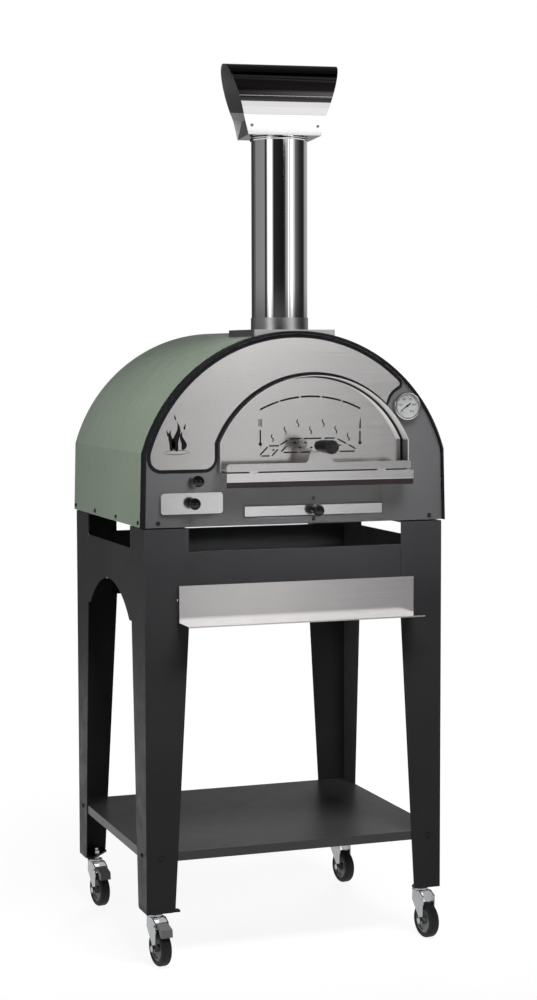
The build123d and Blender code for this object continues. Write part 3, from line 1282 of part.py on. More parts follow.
save("side_frame_left", side_frame(-1))
save("side_frame_right", side_frame(1))
front_apron = apron()
save("aprons", front_apron, mirror(front_apron, Plane.XZ.offset(-STAND_D / 2)))
save("lower_shelf", lower_shelf())
save("utensil_ledge", utensil_ledge())
save("frame_screws", *frame_screws())
save("corner_plates", *[corner_plate(*where) for where in CASTERS.values()])
stems = [caster_place(*where) * caster_stem() for where in CASTERS.values()]
nuts = [caster_place(*where) * caster_nut() for where in CASTERS.values()]
save("caster_stems", *stems, *nuts)
for name, where in CASTERS.items():
    place = caster_place(*where)
    save(f"fork_{name}", place * fork())
    save(f"axle_{name}", place * axle_bolt())
    save(f"hub_{name}", place * hub())
    save(f"tyre_{name}", place * tyre())
    if where[0] < 0:  # only the left casters have a brake
        save(f"brake_pedal_{name}", place * brake_pedal())

save("base_pan", base_pan())
save("shell", shell())
save("front_rim", front_rim())
save("front_panel", front_panel())
save("facade_plate", facade_plate())
save("rear_panel", rear_panel())
save("panel_screws", *panel_screws())
save("vault", vault())
save("insulation", insulation())
save("hearth_frame", hearth_frame())
save("fire_grate", fire_grate())
save("hearth_tiles", *hearth_tiles())
save("drawer_runners", *drawer_runners())
save("mouth_collar", mouth_collar())
save("landing_sill", landing_sill())

save("ash_gate", ash_gate())
save("gate_knob", gate_knob())
save("ember_drawer", ember_drawer())
ember_mid = (EMBER_FRONT_X[0] + EMBER_FRONT_X[1]) / 2, (EMBER_FRONT_Z[0] + EMBER_FRONT_Z[1]) / 2
save("ember_knob", drawer_knob(*ember_mid, EMBER_FRONT_Y))
save("ash_drawer", ash_drawer())
ash_mid = (ASH_FRONT_X[0] + ASH_FRONT_X[1]) / 2, (ASH_FRONT_Z[0] + ASH_FRONT_Z[1]) / 2
save("ash_knob", drawer_knob(*ash_mid, -1.5))

save("door_panel", door_panel())
save("door_core", door_core())
save("door_grip", door_grip())
save("grip_bolt", grip_bolt())

save("gauge_case", gauge_case())
save("gauge_dial", gauge_dial())
save("gauge_needle", gauge_needle())
save("gauge_lens", gauge_lens())

save("flue_base", flue_base())
save("flue_pipe", flue_pipe())
save("cowl_tray", cowl_tray())
save("cowl_sheet", cowl_sheet())
save("cowl_screws", *cowl_screws())
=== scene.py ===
import bpy
import bmesh
import json
import math
import numpy as np
from mathutils import Matrix, Vector


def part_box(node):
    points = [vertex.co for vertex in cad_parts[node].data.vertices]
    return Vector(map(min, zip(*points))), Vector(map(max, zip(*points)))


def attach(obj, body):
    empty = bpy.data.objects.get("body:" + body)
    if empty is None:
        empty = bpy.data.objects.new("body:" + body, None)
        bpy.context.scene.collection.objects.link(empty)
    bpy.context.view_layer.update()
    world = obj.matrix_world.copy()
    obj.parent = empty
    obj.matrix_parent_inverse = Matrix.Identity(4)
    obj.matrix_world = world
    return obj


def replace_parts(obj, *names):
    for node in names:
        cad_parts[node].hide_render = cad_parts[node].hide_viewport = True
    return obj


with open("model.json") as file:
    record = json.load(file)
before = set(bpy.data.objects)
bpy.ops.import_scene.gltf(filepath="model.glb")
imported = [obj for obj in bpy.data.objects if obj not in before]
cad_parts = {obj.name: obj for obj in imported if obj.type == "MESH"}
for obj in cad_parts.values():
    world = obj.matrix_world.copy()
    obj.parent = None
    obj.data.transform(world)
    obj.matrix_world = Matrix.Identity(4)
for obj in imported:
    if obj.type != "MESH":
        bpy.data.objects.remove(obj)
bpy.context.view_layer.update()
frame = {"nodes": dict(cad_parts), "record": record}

MM = 0.001
NODES = frame["nodes"]


# ---- helpers for nodes and meshes ----
def feed(tree, socket, value):
    """Sets a socket to a plain value, or joins it to another node's output."""
    if isinstance(value, bpy.types.NodeSocket):
        tree.links.new(value, socket)
    else:
        socket.default_value = value


def maths(tree, operation, *values):
    """A Math node whose inputs take numbers or other nodes' outputs."""
    node = tree.nodes.new("ShaderNodeMath")
    node.operation = operation
    for socket, value in zip(node.inputs, values):
        feed(tree, socket, value)
    return node.outputs[0]


def blend(tree, factor, first, second):
    """A Mix node for two numbers."""
    node = tree.nodes.new("ShaderNodeMix")
    node.data_type = "FLOAT"
    for place, value in ((0, factor), (2, first), (3, second)):
        feed(tree, node.inputs[place], value)
    return node.outputs[0]


def spread(tree, value, from_low, from_high, to_low, to_high):
    """Maps a value from one range to another; a limit may be a number or a socket."""
    node = tree.nodes.new("ShaderNodeMapRange")
    labels = "Value", "From Min", "From Max", "To Min", "To Max"
    for label, limit in zip(labels, (value, from_low, from_high, to_low, to_high)):
        feed(tree, node.inputs[label], limit)
    return node.outputs[0]


def outward_mesh(name, verts, faces):
    """A mesh whose faces all point outwards."""
    mesh = bpy.data.meshes.new(name)
    mesh.from_pydata(verts, [], faces)
    work = bmesh.new()
    work.from_mesh(mesh)
    bmesh.ops.recalc_face_normals(work, faces=work.faces[:])
    work.to_mesh(mesh)
    work.free()
    return mesh


def plain_mesh(thing):
    """The evaluated shape of an object as a mesh of its own."""
    bpy.context.view_layer.update()
    shown = thing.evaluated_get(bpy.context.evaluated_depsgraph_get())
    return bpy.data.meshes.new_from_object(shown)


# ---- camera ----
CAMERA_PLACE = (-1.5371, -4.3410, 1.3370)
CAMERA_TURNS = (19.704, -4.168, -0.130)  # azimuth, pitch and roll, in degrees
CAMERA_LENS = 71.78
SENSOR_WIDTH = 36.0


def aim_camera():
    """A long lens, to the left of the oven and a little over the door."""
    azimuth, pitch, roll = (math.radians(turn) for turn in CAMERA_TURNS)
    level = math.cos(pitch)
    ahead = Vector((math.sin(azimuth) * level, math.cos(azimuth) * level, math.sin(pitch)))
    right = Vector((math.cos(azimuth), -math.sin(azimuth), 0.0))
    up = right.cross(ahead)
    x = math.cos(roll) * right + math.sin(roll) * up
    y = -math.sin(roll) * right + math.cos(roll) * up
    data = bpy.data.cameras.new("camera")
    data.sensor_width = SENSOR_WIDTH
    data.lens = CAMERA_LENS
    camera = bpy.data.objects.new("camera", data)
    turn = Matrix((x, y, -ahead)).transposed().to_4x4()
    camera.matrix_world = Matrix.Translation(CAMERA_PLACE) @ turn
    bpy.context.scene.collection.objects.link(camera)
    bpy.context.scene.camera = camera


aim_camera()


# ---- studio ----
def ramp(node, stops):
    """Sets a colour ramp from (place, brightness) pairs."""
    elements = node.color_ramp.elements
    while len(elements) < len(stops):
        elements.new(0.5)
    for element, (place, value) in zip(elements, stops):
        element.position = place
        element.color = (value, value, value, 1.0)


# Brightness round the oven, by compass angle: 0 is behind, 0.5 is the camera's side.
# The front's plates mirror the lower ring and the flue mirrors the upper one.
LOWER_RING = (
    (0.000, 0.10),
    (0.020, 0.03),
    (0.111, 0.014),
    (0.170, 0.04),
    (0.320, 0.05),
    (0.335, 0.010),
    (0.348, 0.010),
    (0.366, 0.15),
    (0.390, 0.30),
    (0.412, 0.14),
    (0.435, 0.045),
    (0.545, 0.035),
    (0.578, 0.035),
    (0.594, 0.055),
    (0.602, 0.15),
    (0.6072, 0.52),
    (0.6130, 0.16),
    (0.622, 0.09),
    (0.650, 0.06),
    (0.672, 0.04),
    (0.686, 0.010),
    (0.800, 0.007),
    (0.830, 0.020),
    (0.860, 0.08),
    (1.000, 0.10),
)
UPPER_RING = (
    (0.000, 0.18),
    (0.020, 0.04),
    (0.111, 0.014),
    (0.170, 0.04),
    (0.190, 0.09),
    (0.320, 0.10),
    (0.335, 0.010),
    (0.348, 0.010),
    (0.366, 0.45),
    (0.390, 1.00),
    (0.412, 0.40),
    (0.435, 0.008),
    (0.545, 0.004),
    (0.562, 0.012),
    (0.575, 0.12),
    (0.596, 0.17),
    (0.6065, 0.70),
    (0.617, 0.16),
    (0.632, 0.60),
    (0.650, 1.00),
    (0.662, 0.32),
    (0.700, 0.045),
    (0.760, 0.012),
    (0.812, 0.006),
    (0.835, 0.035),
    (0.860, 0.14),
    (1.000, 0.18),
)


RING_TURN = 19.7  # degrees from the oven's front to the camera's side
RING_GAIN = 3.0
RING_BLEND = (0.012, 0.035)  # heights between which the upper ring takes over
HEIGHTS = (  # how the rings fade with height: 0 is straight down, 1 is straight up
    (0.0, 0.2),
    (0.3, 0.8),
    (0.432, 0.62),
    (0.456, 0.95),
    (0.475, 0.68),
    (0.5, 0.62),
    (0.513, 1.0),
    (0.64, 1.0),
    (0.72, 0.1),
    (1.0, 0.02),
)
CARDS = (  # white cards the cowl mirrors: place and half width on the ring, height and half, gain
    (0.565, 0.020, 0.119, 0.011, 1.5),
    (0.565, 0.035, -0.34, 0.14, 0.85),
)
FILL = 0.025


def light_world():
    """White to the camera, the rings and cards to mirrors, and a dim fill to matt faces."""
    world = bpy.data.worlds.new("studio")
    bpy.context.scene.world = world
    world.use_nodes = True
    tree = world.node_tree
    nodes, links = tree.nodes, tree.links
    nodes.clear()
    out = nodes.new("ShaderNodeOutputWorld")
    where = nodes.new("ShaderNodeTexCoord")
    split = nodes.new("ShaderNodeSeparateXYZ")
    links.new(where.outputs["Generated"], split.inputs[0])
    up = split.outputs["Z"]
    back = maths(tree, "MULTIPLY", split.outputs["Y"], -1.0)
    compass = maths(tree, "ARCTAN2", split.outputs["X"], back)
    turned = maths(tree, "ADD", compass, math.pi + math.radians(RING_TURN))
    ring = maths(tree, "FRACT", maths(tree, "DIVIDE", turned, 2 * math.pi))
    rings = []
    for stops in (LOWER_RING, UPPER_RING):
        around = nodes.new("ShaderNodeValToRGB")
        around.color_ramp.interpolation = "EASE"
        ramp(around, stops)
        links.new(ring, around.inputs[0])
        rings.append(around.outputs[0])
    above = spread(tree, up, *RING_BLEND, 0.0, 1.0)
    around = blend(tree, above, *rings)
    height = nodes.new("ShaderNodeValToRGB")
    ramp(height, HEIGHTS)
    links.new(maths(tree, "MULTIPLY_ADD", up, 0.5, 0.5), height.inputs[0])
    soft = maths(tree, "MULTIPLY", around, height.outputs[0])
    mirrored = maths(tree, "MULTIPLY", soft, RING_GAIN)
    for place, half_wide, level, half_tall, gain in CARDS:
        across = maths(tree, "COMPARE", ring, place, half_wide)
        upward = maths(tree, "COMPARE", up, level, half_tall)
        card = maths(tree, "MULTIPLY", across, upward)
        mirrored = maths(tree, "MULTIPLY_ADD", card, gain, mirrored)
    path = nodes.new("ShaderNodeLightPath").outputs
    lit = blend(tree, path["Is Diffuse Ray"], mirrored, FILL)
    seen = blend(tree, path["Is Camera Ray"], lit, 1.0)
    background = nodes.new("ShaderNodeBackground")
    links.new(seen, background.inputs["Color"])
    links.new(background.outputs[0], out.inputs["Surface"])


def soft_box(name, place, target, size, watts, spread_angle):
    """A rectangular lamp that matt faces catch and nothing mirrors."""
    data = bpy.data.lights.new(name, "AREA")
    data.spread = math.radians(spread_angle)
    data.shape = "RECTANGLE"
    data.size, data.size_y = size
    data.energy = watts
    lamp = bpy.data.objects.new(name, data)
    lamp.location = place
    lamp.rotation_euler = (Vector(target) - Vector(place)).to_track_quat("-Z", "Y").to_euler()
    lamp.visible_camera = False
    lamp.visible_glossy = False
    bpy.context.scene.collection.objects.link(lamp)


FLOOR_FADE = (0.7, 2.2)  # radii between which the paper turns to full white
FLOOR_SIDES = 96
FLOOR_RINGS = (  # name, inner and outer radius, colour, glow
    ("floor", 0.0, 3.7, 0.16, 0.90),
    ("far_floor", 3.7, 60.0, 0.0, 1.0),
)


def floor_paper(name, colour, glow):
    """Matt white paper, a little lit from within so that it stays white to the camera."""
    paint = bpy.data.materials.new(name)
    paint.use_nodes = True
    tree = paint.node_tree
    nodes, links = tree.nodes, tree.links
    shader = nodes["Principled BSDF"]
    shader.inputs["Roughness"].default_value = 0.9
    shader.inputs["Specular IOR Level"].default_value = 0.0
    shader.inputs["Base Color"].default_value = (colour, colour, colour, 1)
    shader.inputs["Emission Color"].default_value = (1, 1, 1, 1)
    path = nodes.new("ShaderNodeLightPath")
    seen = maths(tree, "SUBTRACT", 1.0, path.outputs["Is Diffuse Ray"])
    where = nodes.new("ShaderNodeTexCoord")
    away = nodes.new("ShaderNodeVectorMath")
    away.operation = "LENGTH"
    links.new(where.outputs["Object"], away.inputs[0])
    fade = spread(tree, away.outputs["Value"], *FLOOR_FADE, glow, 1.0)
    links.new(maths(tree, "MULTIPLY", seen, fade), shader.inputs["Emission Strength"])
    return paint


def floor():
    """A pale disc of floor round the oven, and the white distance that only the camera sees."""
    count = FLOOR_SIDES
    turns = [2 * math.pi * k / count for k in range(count)]
    for name, inner, outer, colour, glow in FLOOR_RINGS:
        mesh = bpy.data.meshes.new(name)
        rim = [(outer * math.cos(t), outer * math.sin(t), 0) for t in turns]
        if inner:
            rim += [(inner * math.cos(t), inner * math.sin(t), 0) for t in turns]
            pairs = [(k, (k + 1) % count) for k in range(count)]
            faces = [(k, j, j + count, k + count) for k, j in pairs]
        else:
            faces = [tuple(range(count))]
        mesh.from_pydata(rim, [], faces)
        mesh.materials.append(floor_paper(name + "_paper", colour, glow))
        ground = bpy.data.objects.new(name, mesh)
        bpy.context.scene.collection.objects.link(ground)
        ground.visible_glossy = ground.visible_diffuse = not inner


light_world()
# name, place, what it points at, size, watts, spread
soft_box("left_box", (-3.4, -0.6, 1.4), (0, 0, 1.1), (1.0, 1.2), 6.8, 40)
soft_box("front_box", (-0.3, -3.7, 1.5), (0.0, -0.3, 1.14), (0.7, 0.2), 1.4, 12)
soft_box("top_box", (0.1, -1.3, 2.4), (0, -0.1, 1.0), (1.6, 0.7), 13, 70)
soft_box("back_box", (1.6, 3.2, 2.2), (0, 0.1, 0.9), (1.4, 1.2), 14, 90)
floor()
bpy.context.scene.view_settings.view_transform = "Standard"


# ---- shared surface effects ----
def group(name, inputs, outputs):
    """An empty shader group with its sockets, input node and output node."""
    tree = bpy.data.node_groups.new(name, "ShaderNodeTree")
    for label, kind, value in inputs:
        socket = tree.interface.new_socket(label, in_out="INPUT", socket_type="NodeSocket" + kind)
        if value is not None:
            socket.default_value = value
    for label, kind in outputs:
        tree.interface.new_socket(label, in_out="OUTPUT", socket_type="NodeSocket" + kind)
    return tree, tree.nodes.new("NodeGroupInput"), tree.nodes.new("NodeGroupOutput")


def scaled(tree, vector, scale):
    node = tree.nodes.new("ShaderNodeVectorMath")
    node.operation = "MULTIPLY"
    tree.links.new(vector, node.inputs[0])
    tree.links.new(scale, node.inputs[1])
    return node.outputs[0]


def noise(tree, vector, scale, detail, roughness=0.55):
    node = tree.nodes.new("ShaderNodeTexNoise")
    feed(tree, node.inputs["Scale"], scale)
    node.inputs["Detail"].default_value = detail
    node.inputs["Roughness"].default_value = roughness
    tree.links.new(vector, node.inputs["Vector"])
    return node.outputs["Fac"]


def tint(tree, factor, dark, light):
    """A Mix node for two colours."""
    node = tree.nodes.new("ShaderNodeMix")
    node.data_type = "RGBA"
    tree.links.new(factor, node.inputs[0])
    for place, value in ((6, dark), (7, light)):
        feed(tree, node.inputs[place], (*value, 1.0) if isinstance(value, tuple) else value)
    return node.outputs[2]


def finish_group(tree, start, end, even, colours, rough_from, rough_limits, height):
    """Joins a group's mottled colour, its roughness and its height to the outputs."""
    dark, light = (start.outputs[label] for label in colours)
    tree.links.new(tint(tree, even, dark, light), end.inputs["Color"])
    smooth, rough = start.outputs["Smooth"], start.outputs["Rough"]
    roughness = spread(tree, rough_from, *rough_limits, smooth, rough)
    tree.links.new(roughness, end.inputs["Roughness"])
    tree.links.new(height, end.inputs["Height"])
    return tree


def make_brushing():
    """Fine parallel scratches left by a belt, with slow changes in tone between them."""
    tree, start, end = group(
        "brushing",
        [
            ("Vector", "Vector", None),
            ("Stretch", "Vector", (8.0, 600.0, 600.0)),
            ("Dark", "Color", (0.4, 0.39, 0.38, 1)),
            ("Light", "Color", (0.6, 0.59, 0.58, 1)),
            ("Smooth", "Float", 0.22),
            ("Rough", "Float", 0.36),
        ],
        [("Color", "Color"), ("Roughness", "Float"), ("Height", "Float")],
    )
    lines = scaled(tree, start.outputs["Vector"], start.outputs["Stretch"])
    scratches = noise(tree, lines, 1.0, 6.0, 0.7)
    clouds = noise(tree, start.outputs["Vector"], 7.0, 2.0)
    both = maths(tree, "MULTIPLY_ADD", clouds, 0.5, scratches)
    even = spread(tree, both, 0.45, 1.05, 0.0, 1.0)
    colours, limits = ("Dark", "Light"), (0.3, 0.7)
    return finish_group(tree, start, end, even, colours, scratches, limits, scratches)


def make_powder_coat():
    """Baked powder: fine orange peel, faint mottling and smudges."""
    tree, start, end = group(
        "powder_coat",
        [
            ("Vector", "Vector", None),
            ("Shade", "Color", (0.05, 0.05, 0.05, 1)),
            ("Tone", "Color", (0.06, 0.06, 0.06, 1)),
            ("Smooth", "Float", 0.36),
            ("Rough", "Float", 0.48),
        ],
        [("Color", "Color"), ("Roughness", "Float"), ("Height", "Float")],
    )
    vector = start.outputs["Vector"]
    peel = noise(tree, vector, 900.0, 2.0)
    mottle = noise(tree, vector, 5.0, 4.0)
    smudge = noise(tree, vector, 23.0, 5.0, 0.65)
    even = spread(tree, mottle, 0.3, 0.7, 0.0, 1.0)
    colours, limits = ("Shade", "Tone"), (0.35, 0.65)
    return finish_group(tree, start, end, even, colours, smudge, limits, peel)


def make_grit():
    """Coarse grain for clay, cast iron, rubber and fibre."""
    tree, start, end = group(
        "grit",
        [
            ("Vector", "Vector", None),
            ("Grain", "Float", 400.0),
            ("Shade", "Color", (0.05, 0.05, 0.05, 1)),
            ("Tone", "Color", (0.1, 0.1, 0.1, 1)),
            ("Smooth", "Float", 0.6),
            ("Rough", "Float", 0.85),
        ],
        [("Color", "Color"), ("Roughness", "Float"), ("Height", "Float")],
    )
    vector = start.outputs["Vector"]
    fine = noise(tree, vector, start.outputs["Grain"], 6.0, 0.7)
    stain = noise(tree, vector, 9.0, 4.0)
    both = maths(tree, "ADD", fine, stain)
    even = spread(tree, both, 0.75, 1.25, 0.0, 1.0)
    colours, limits = ("Shade", "Tone"), (0.3, 0.7)
    return finish_group(tree, start, end, even, colours, fine, limits, fine)


BRUSHING = make_brushing()
POWDER = make_powder_coat()
GRIT = make_grit()


# ---- materials ----
BUMP_STRENGTH = 0.5
GRAIN_ALONG, GRAIN_ACROSS = 3.0, 1100.0


def dressed(name, effect, settings, depth, metallic=0.0, gloss=0.5):
    """A material whose colour, roughness and bump come from one of the shared effects."""
    material = bpy.data.materials.new(name)
    material.use_nodes = True
    tree = material.node_tree
    shader = tree.nodes["Principled BSDF"]
    shader.inputs["Metallic"].default_value = metallic
    shader.inputs["Specular IOR Level"].default_value = gloss
    where = tree.nodes.new("ShaderNodeTexCoord")
    effect_node = tree.nodes.new("ShaderNodeGroup")
    effect_node.node_tree = effect
    tree.links.new(where.outputs["Object"], effect_node.inputs["Vector"])
    for label, value in settings.items():
        colour = label in ("Dark", "Light", "Shade", "Tone")
        effect_node.inputs[label].default_value = (*value, 1.0) if colour else value
    tree.links.new(effect_node.outputs["Color"], shader.inputs["Base Color"])
    tree.links.new(effect_node.outputs["Roughness"], shader.inputs["Roughness"])
    bump = tree.nodes.new("ShaderNodeBump")
    bump.inputs["Distance"].default_value = depth
    bump.inputs["Strength"].default_value = BUMP_STRENGTH
    tree.links.new(effect_node.outputs["Height"], bump.inputs["Height"])
    tree.links.new(bump.outputs[0], shader.inputs["Normal"])
    material.diffuse_color = (*(settings["Tone"] if "Tone" in settings else settings["Light"]), 1.0)
    return material


def brushed(name, dark, light, smooth=0.24, rough=0.38, along="X", depth=0.00006):
    """Metal with a grain along one of the axes."""
    stretch = tuple(GRAIN_ALONG if axis == along else GRAIN_ACROSS for axis in "XYZ")
    settings = {"Stretch": stretch, "Dark": dark, "Light": light, "Smooth": smooth, "Rough": rough}
    return dressed(name, BRUSHING, settings, depth, metallic=1.0)


def coated(name, shade, tone, smooth=0.36, rough=0.48, depth=0.00003, gloss=0.25):
    settings = {"Shade": shade, "Tone": tone, "Smooth": smooth, "Rough": rough}
    return dressed(name, POWDER, settings, depth, gloss=gloss)


def gritty(name, grain, shade, tone, smooth, rough, depth, metallic=0.0, gloss=0.3):
    settings = {"Grain": grain, "Shade": shade, "Tone": tone, "Smooth": smooth, "Rough": rough}
    return dressed(name, GRIT, settings, depth, metallic, gloss)


# The stand's copy of the anthracite paint, darker than the front's: painted shade on the stand.
ANTHRACITE_PAINTED_SHADE = coated("anthracite_coat", (0.024, 0.024, 0.0255), (0.029, 0.029, 0.0305), gloss=0.08)
# The shelf's copy of the anthracite paint, lighter than the stand's: painted light on the shelf's
# top.
SHELF_COAT_PAINTED_LIGHT = coated(
    "shelf_anthracite_coat_painted_light", (0.042, 0.042, 0.044), (0.045, 0.045, 0.047), 0.38, 0.41, gloss=0.32
)
FRONT_COAT = coated("front_anthracite_coat", (0.052, 0.052, 0.054), (0.062, 0.062, 0.064))
SAGE = coated("sage_coat", (0.150, 0.181, 0.145), (0.166, 0.199, 0.160), 0.34, 0.44)
# Black trim paint for the rim; the band of painted shade round the facade plate uses it too.
BLACK_TRIM_AND_PAINTED_SHADE = coated(
    "black_trim_and_painted_shade_coat", (0.005, 0.005, 0.006), (0.008, 0.008, 0.009), 0.22, 0.34, gloss=0.08
)
SCREW_BLACK = coated(
    "blackened_screw", (0.008, 0.008, 0.009), (0.014, 0.014, 0.015), 0.25, 0.35, 0.00001
)
STAINLESS = brushed("brushed_stainless", (0.70, 0.68, 0.675), (0.80, 0.78, 0.775), 0.13, 0.19)
BRIGHT_PLATE = brushed("bright_stainless", (0.86, 0.85, 0.85), (0.95, 0.94, 0.94), 0.12, 0.20)
# Near-black stainless for the sill's rolled nose: painted shade and painted dark reflection, not
# the steel's own colour.
PAINTED_SHADE_STEEL = brushed("painted_shade_stainless", (0.035, 0.027, 0.027), (0.06, 0.05, 0.05), 0.18, 0.28)
SATIN_PLATE = brushed("satin_stainless", (0.84, 0.83, 0.83), (0.93, 0.92, 0.92), 0.30, 0.42)
CHAMBER = brushed("chamber_steel", (0.20, 0.18, 0.16), (0.34, 0.31, 0.28), 0.35, 0.5, "Y")
MIRROR = brushed(
    "polished_stainless", (0.76, 0.75, 0.75), (0.80, 0.79, 0.79), 0.03, 0.06, "Z", 0.000002
)
BASE_STEEL = brushed("flue_base_stainless", (0.60, 0.59, 0.59), (0.74, 0.73, 0.73), 0.30, 0.42)
ZINC = brushed("zinc_plate", (0.28, 0.285, 0.29), (0.50, 0.51, 0.52), 0.18, 0.32, "Z")
HUB_GREY = gritty("hub_nylon", 300.0, (0.20, 0.205, 0.21), (0.28, 0.285, 0.29), 0.35, 0.5, 0.00004)
RUBBER = gritty(
    "tread_rubber", 500.0, (0.010, 0.010, 0.010), (0.020, 0.020, 0.020), 0.55, 0.75, 0.00008
)
PEDAL = gritty("pedal_nylon", 300.0, (0.16, 0.16, 0.165), (0.22, 0.22, 0.225), 0.35, 0.5, 0.00004)
KNOB_BLACK = coated(
    "phenolic_knob", (0.0015, 0.0015, 0.0015), (0.003, 0.003, 0.003), 0.04, 0.08, 0.000005, 0.4
)
GRIP_BLACK = gritty(
    "phenolic_grip",
    260.0,
    (0.004, 0.004, 0.004),
    (0.009, 0.009, 0.009),
    0.35,
    0.5,
    0.00005,
    gloss=0.2,
)
CORE_BLACK = gritty(
    "door_pad", 220.0, (0.004, 0.004, 0.004), (0.010, 0.009, 0.009), 0.8, 0.95, 0.0003
)
CAST_IRON = gritty(
    "cast_iron", 350.0, (0.020, 0.019, 0.018), (0.055, 0.052, 0.050), 0.5, 0.75, 0.0003, 0.6
)
FIRECLAY = gritty("fireclay", 420.0, (0.50, 0.38, 0.27), (0.66, 0.54, 0.42), 0.85, 0.97, 0.0004)
FIBRE = gritty("ceramic_fibre", 180.0, (0.74, 0.72, 0.66), (0.86, 0.85, 0.80), 0.95, 1.0, 0.001)
DIAL_WHITE = coated("dial_enamel", (0.30, 0.30, 0.295), (0.36, 0.36, 0.355), 0.30, 0.40, 0.000005)
INK_BLACK = coated(
    "etched_black", (0.003, 0.003, 0.003), (0.006, 0.006, 0.006), 0.45, 0.6, 0.00001, 0.05
)


def make_glass():
    material = bpy.data.materials.new("gauge_glass")
    material.use_nodes = True
    shader = material.node_tree.nodes["Principled BSDF"]
    shader.inputs["Base Color"].default_value = (0.97, 0.98, 0.98, 1)
    shader.inputs["Roughness"].default_value = 0.03
    shader.inputs["Transmission Weight"].default_value = 1.0
    shader.inputs["IOR"].default_value = 1.05
    return material


GLASS = make_glass()


# The cowl's sheet, measured from the axis of its roll, in metres.
ROLL_AXIS_DROP = 0.076  # from the top of the sheet
COWL_YAW = -8.0  # degrees
ROLL_INNER_R = 0.0755
ROLL_LOW_Z = -0.022
WALL_TOP_Z = -0.041
WALL_INNER_Y = 0.0635
CROWN_Z = (-0.013, -0.004)  # the sheet darkens between these heights, a painted dark reflection on the crown
# Painted dark reflection on the roll's crown.
CROWN_PAINTED_REFLECTION_TINT = (0.36, 0.33, 0.33)
# Painted shade inside the roll.
ROLL_PAINTED_SHADE_TINT = (0.20, 0.20, 0.20)
# Painted pale reflection inside the walls and the roll's low part, where the sheet is also made
# rougher and less metallic.
WALL_PAINTED_REFLECTION_TINT = (0.95, 0.95, 0.95)
INSIDE_ROUGHER = 0.45
INSIDE_DULLER = 0.8


def make_cowl_steel():
    """Polished sheet with painted light: a painted dark reflection on the crown, painted shade
    inside the roll and a pale painted reflection inside the walls and the roll's low part.
    """
    material = MIRROR.copy()
    material.name = "cowl_sheet_stainless"
    tree = material.node_tree
    nodes, links = tree.nodes, tree.links
    shader = nodes["Principled BSDF"]
    effect = next(n for n in nodes if n.type == "GROUP")
    where = next(n for n in nodes if n.type == "TEX_COORD")
    low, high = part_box("flue_pipe")
    pipe = (Vector(low) + Vector(high)) / 2
    place = nodes.new("ShaderNodeMapping")
    place.vector_type = "TEXTURE"
    axis_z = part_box("cowl_sheet")[1].z - ROLL_AXIS_DROP
    place.inputs["Location"].default_value = (pipe.x, pipe.y, axis_z)
    place.inputs["Rotation"].default_value = (0, 0, math.radians(COWL_YAW))
    links.new(where.outputs["Object"], place.inputs["Vector"])
    split = nodes.new("ShaderNodeSeparateXYZ")
    links.new(place.outputs[0], split.inputs[0])
    up = split.outputs["Z"]
    across = maths(tree, "ABSOLUTE", split.outputs["Y"])
    squares = maths(tree, "POWER", across, 2.0), maths(tree, "MULTIPLY", up, up)
    from_axis = maths(tree, "SQRT", maths(tree, "ADD", *squares))
    in_roll = maths(tree, "LESS_THAN", from_axis, ROLL_INNER_R)
    below = maths(tree, "LESS_THAN", up, WALL_TOP_Z)
    between = maths(tree, "LESS_THAN", across, WALL_INNER_Y)
    in_walls = maths(tree, "MULTIPLY", below, between)
    low_roll = maths(tree, "MULTIPLY", maths(tree, "LESS_THAN", up, ROLL_LOW_Z), in_roll)
    in_walls = maths(tree, "MAXIMUM", in_walls, low_roll)
    # Painted dark reflection: the sheet's colour darkens over the crown.
    crown = spread(tree, up, *CROWN_Z, 0.0, 1.0)
    outside = tint(tree, crown, effect.outputs["Color"], CROWN_PAINTED_REFLECTION_TINT)
    # Painted shade: the inside of the roll is darkened in colour.
    roll_shaded = tint(tree, in_roll, outside, ROLL_PAINTED_SHADE_TINT)
    # Painted pale reflection inside the walls and the roll's low part.
    links.new(tint(tree, in_walls, roll_shaded, WALL_PAINTED_REFLECTION_TINT), shader.inputs["Base Color"])
    inside = maths(tree, "MAXIMUM", in_roll, in_walls)
    rough = maths(tree, "MULTIPLY_ADD", inside, INSIDE_ROUGHER, effect.outputs["Roughness"])
    links.new(rough, shader.inputs["Roughness"])
    metal = maths(tree, "SUBTRACT", 1.0, maths(tree, "MULTIPLY", inside, INSIDE_DULLER))
    links.new(metal, shader.inputs["Metallic"])
    return material


COWL_STEEL = make_cowl_steel()

SLOT_LOOKS = {
    "stand_paint": ANTHRACITE_PAINTED_SHADE,
    "front_paint": FRONT_COAT,
    "shell_paint": SAGE,
    "trim_black": BLACK_TRIM_AND_PAINTED_SHADE,
    "black_screw": SCREW_BLACK,
    "brushed_stainless": STAINLESS,
    "chamber_steel": CHAMBER,
    "mirror_stainless": MIRROR,
    "zinc": ZINC,
    "wheel_hub": HUB_GREY,
    "wheel_tread": RUBBER,
    "pedal_grey": PEDAL,
    "knob_black": KNOB_BLACK,
    "grip_black": GRIP_BLACK,
    "core_black": CORE_BLACK,
    "cast_grate": CAST_IRON,
    "fireclay": FIRECLAY,
    "ceramic_fibre": FIBRE,
    "gauge_steel": MIRROR,
    "dial_white": DIAL_WHITE,
    "needle_black": INK_BLACK,
    "lens_glass": GLASS,
}
OWN_LOOKS = {
    "flue_base": BASE_STEEL,
    "lower_shelf": SHELF_COAT_PAINTED_LIGHT,
    "cowl_sheet": COWL_STEEL,
    "front_rim": BLACK_TRIM_AND_PAINTED_SHADE,
    "landing_sill": BRIGHT_PLATE,
    "ember_drawer": BRIGHT_PLATE,
    "ash_drawer": BRIGHT_PLATE,
    "mouth_collar": SATIN_PLATE,
}


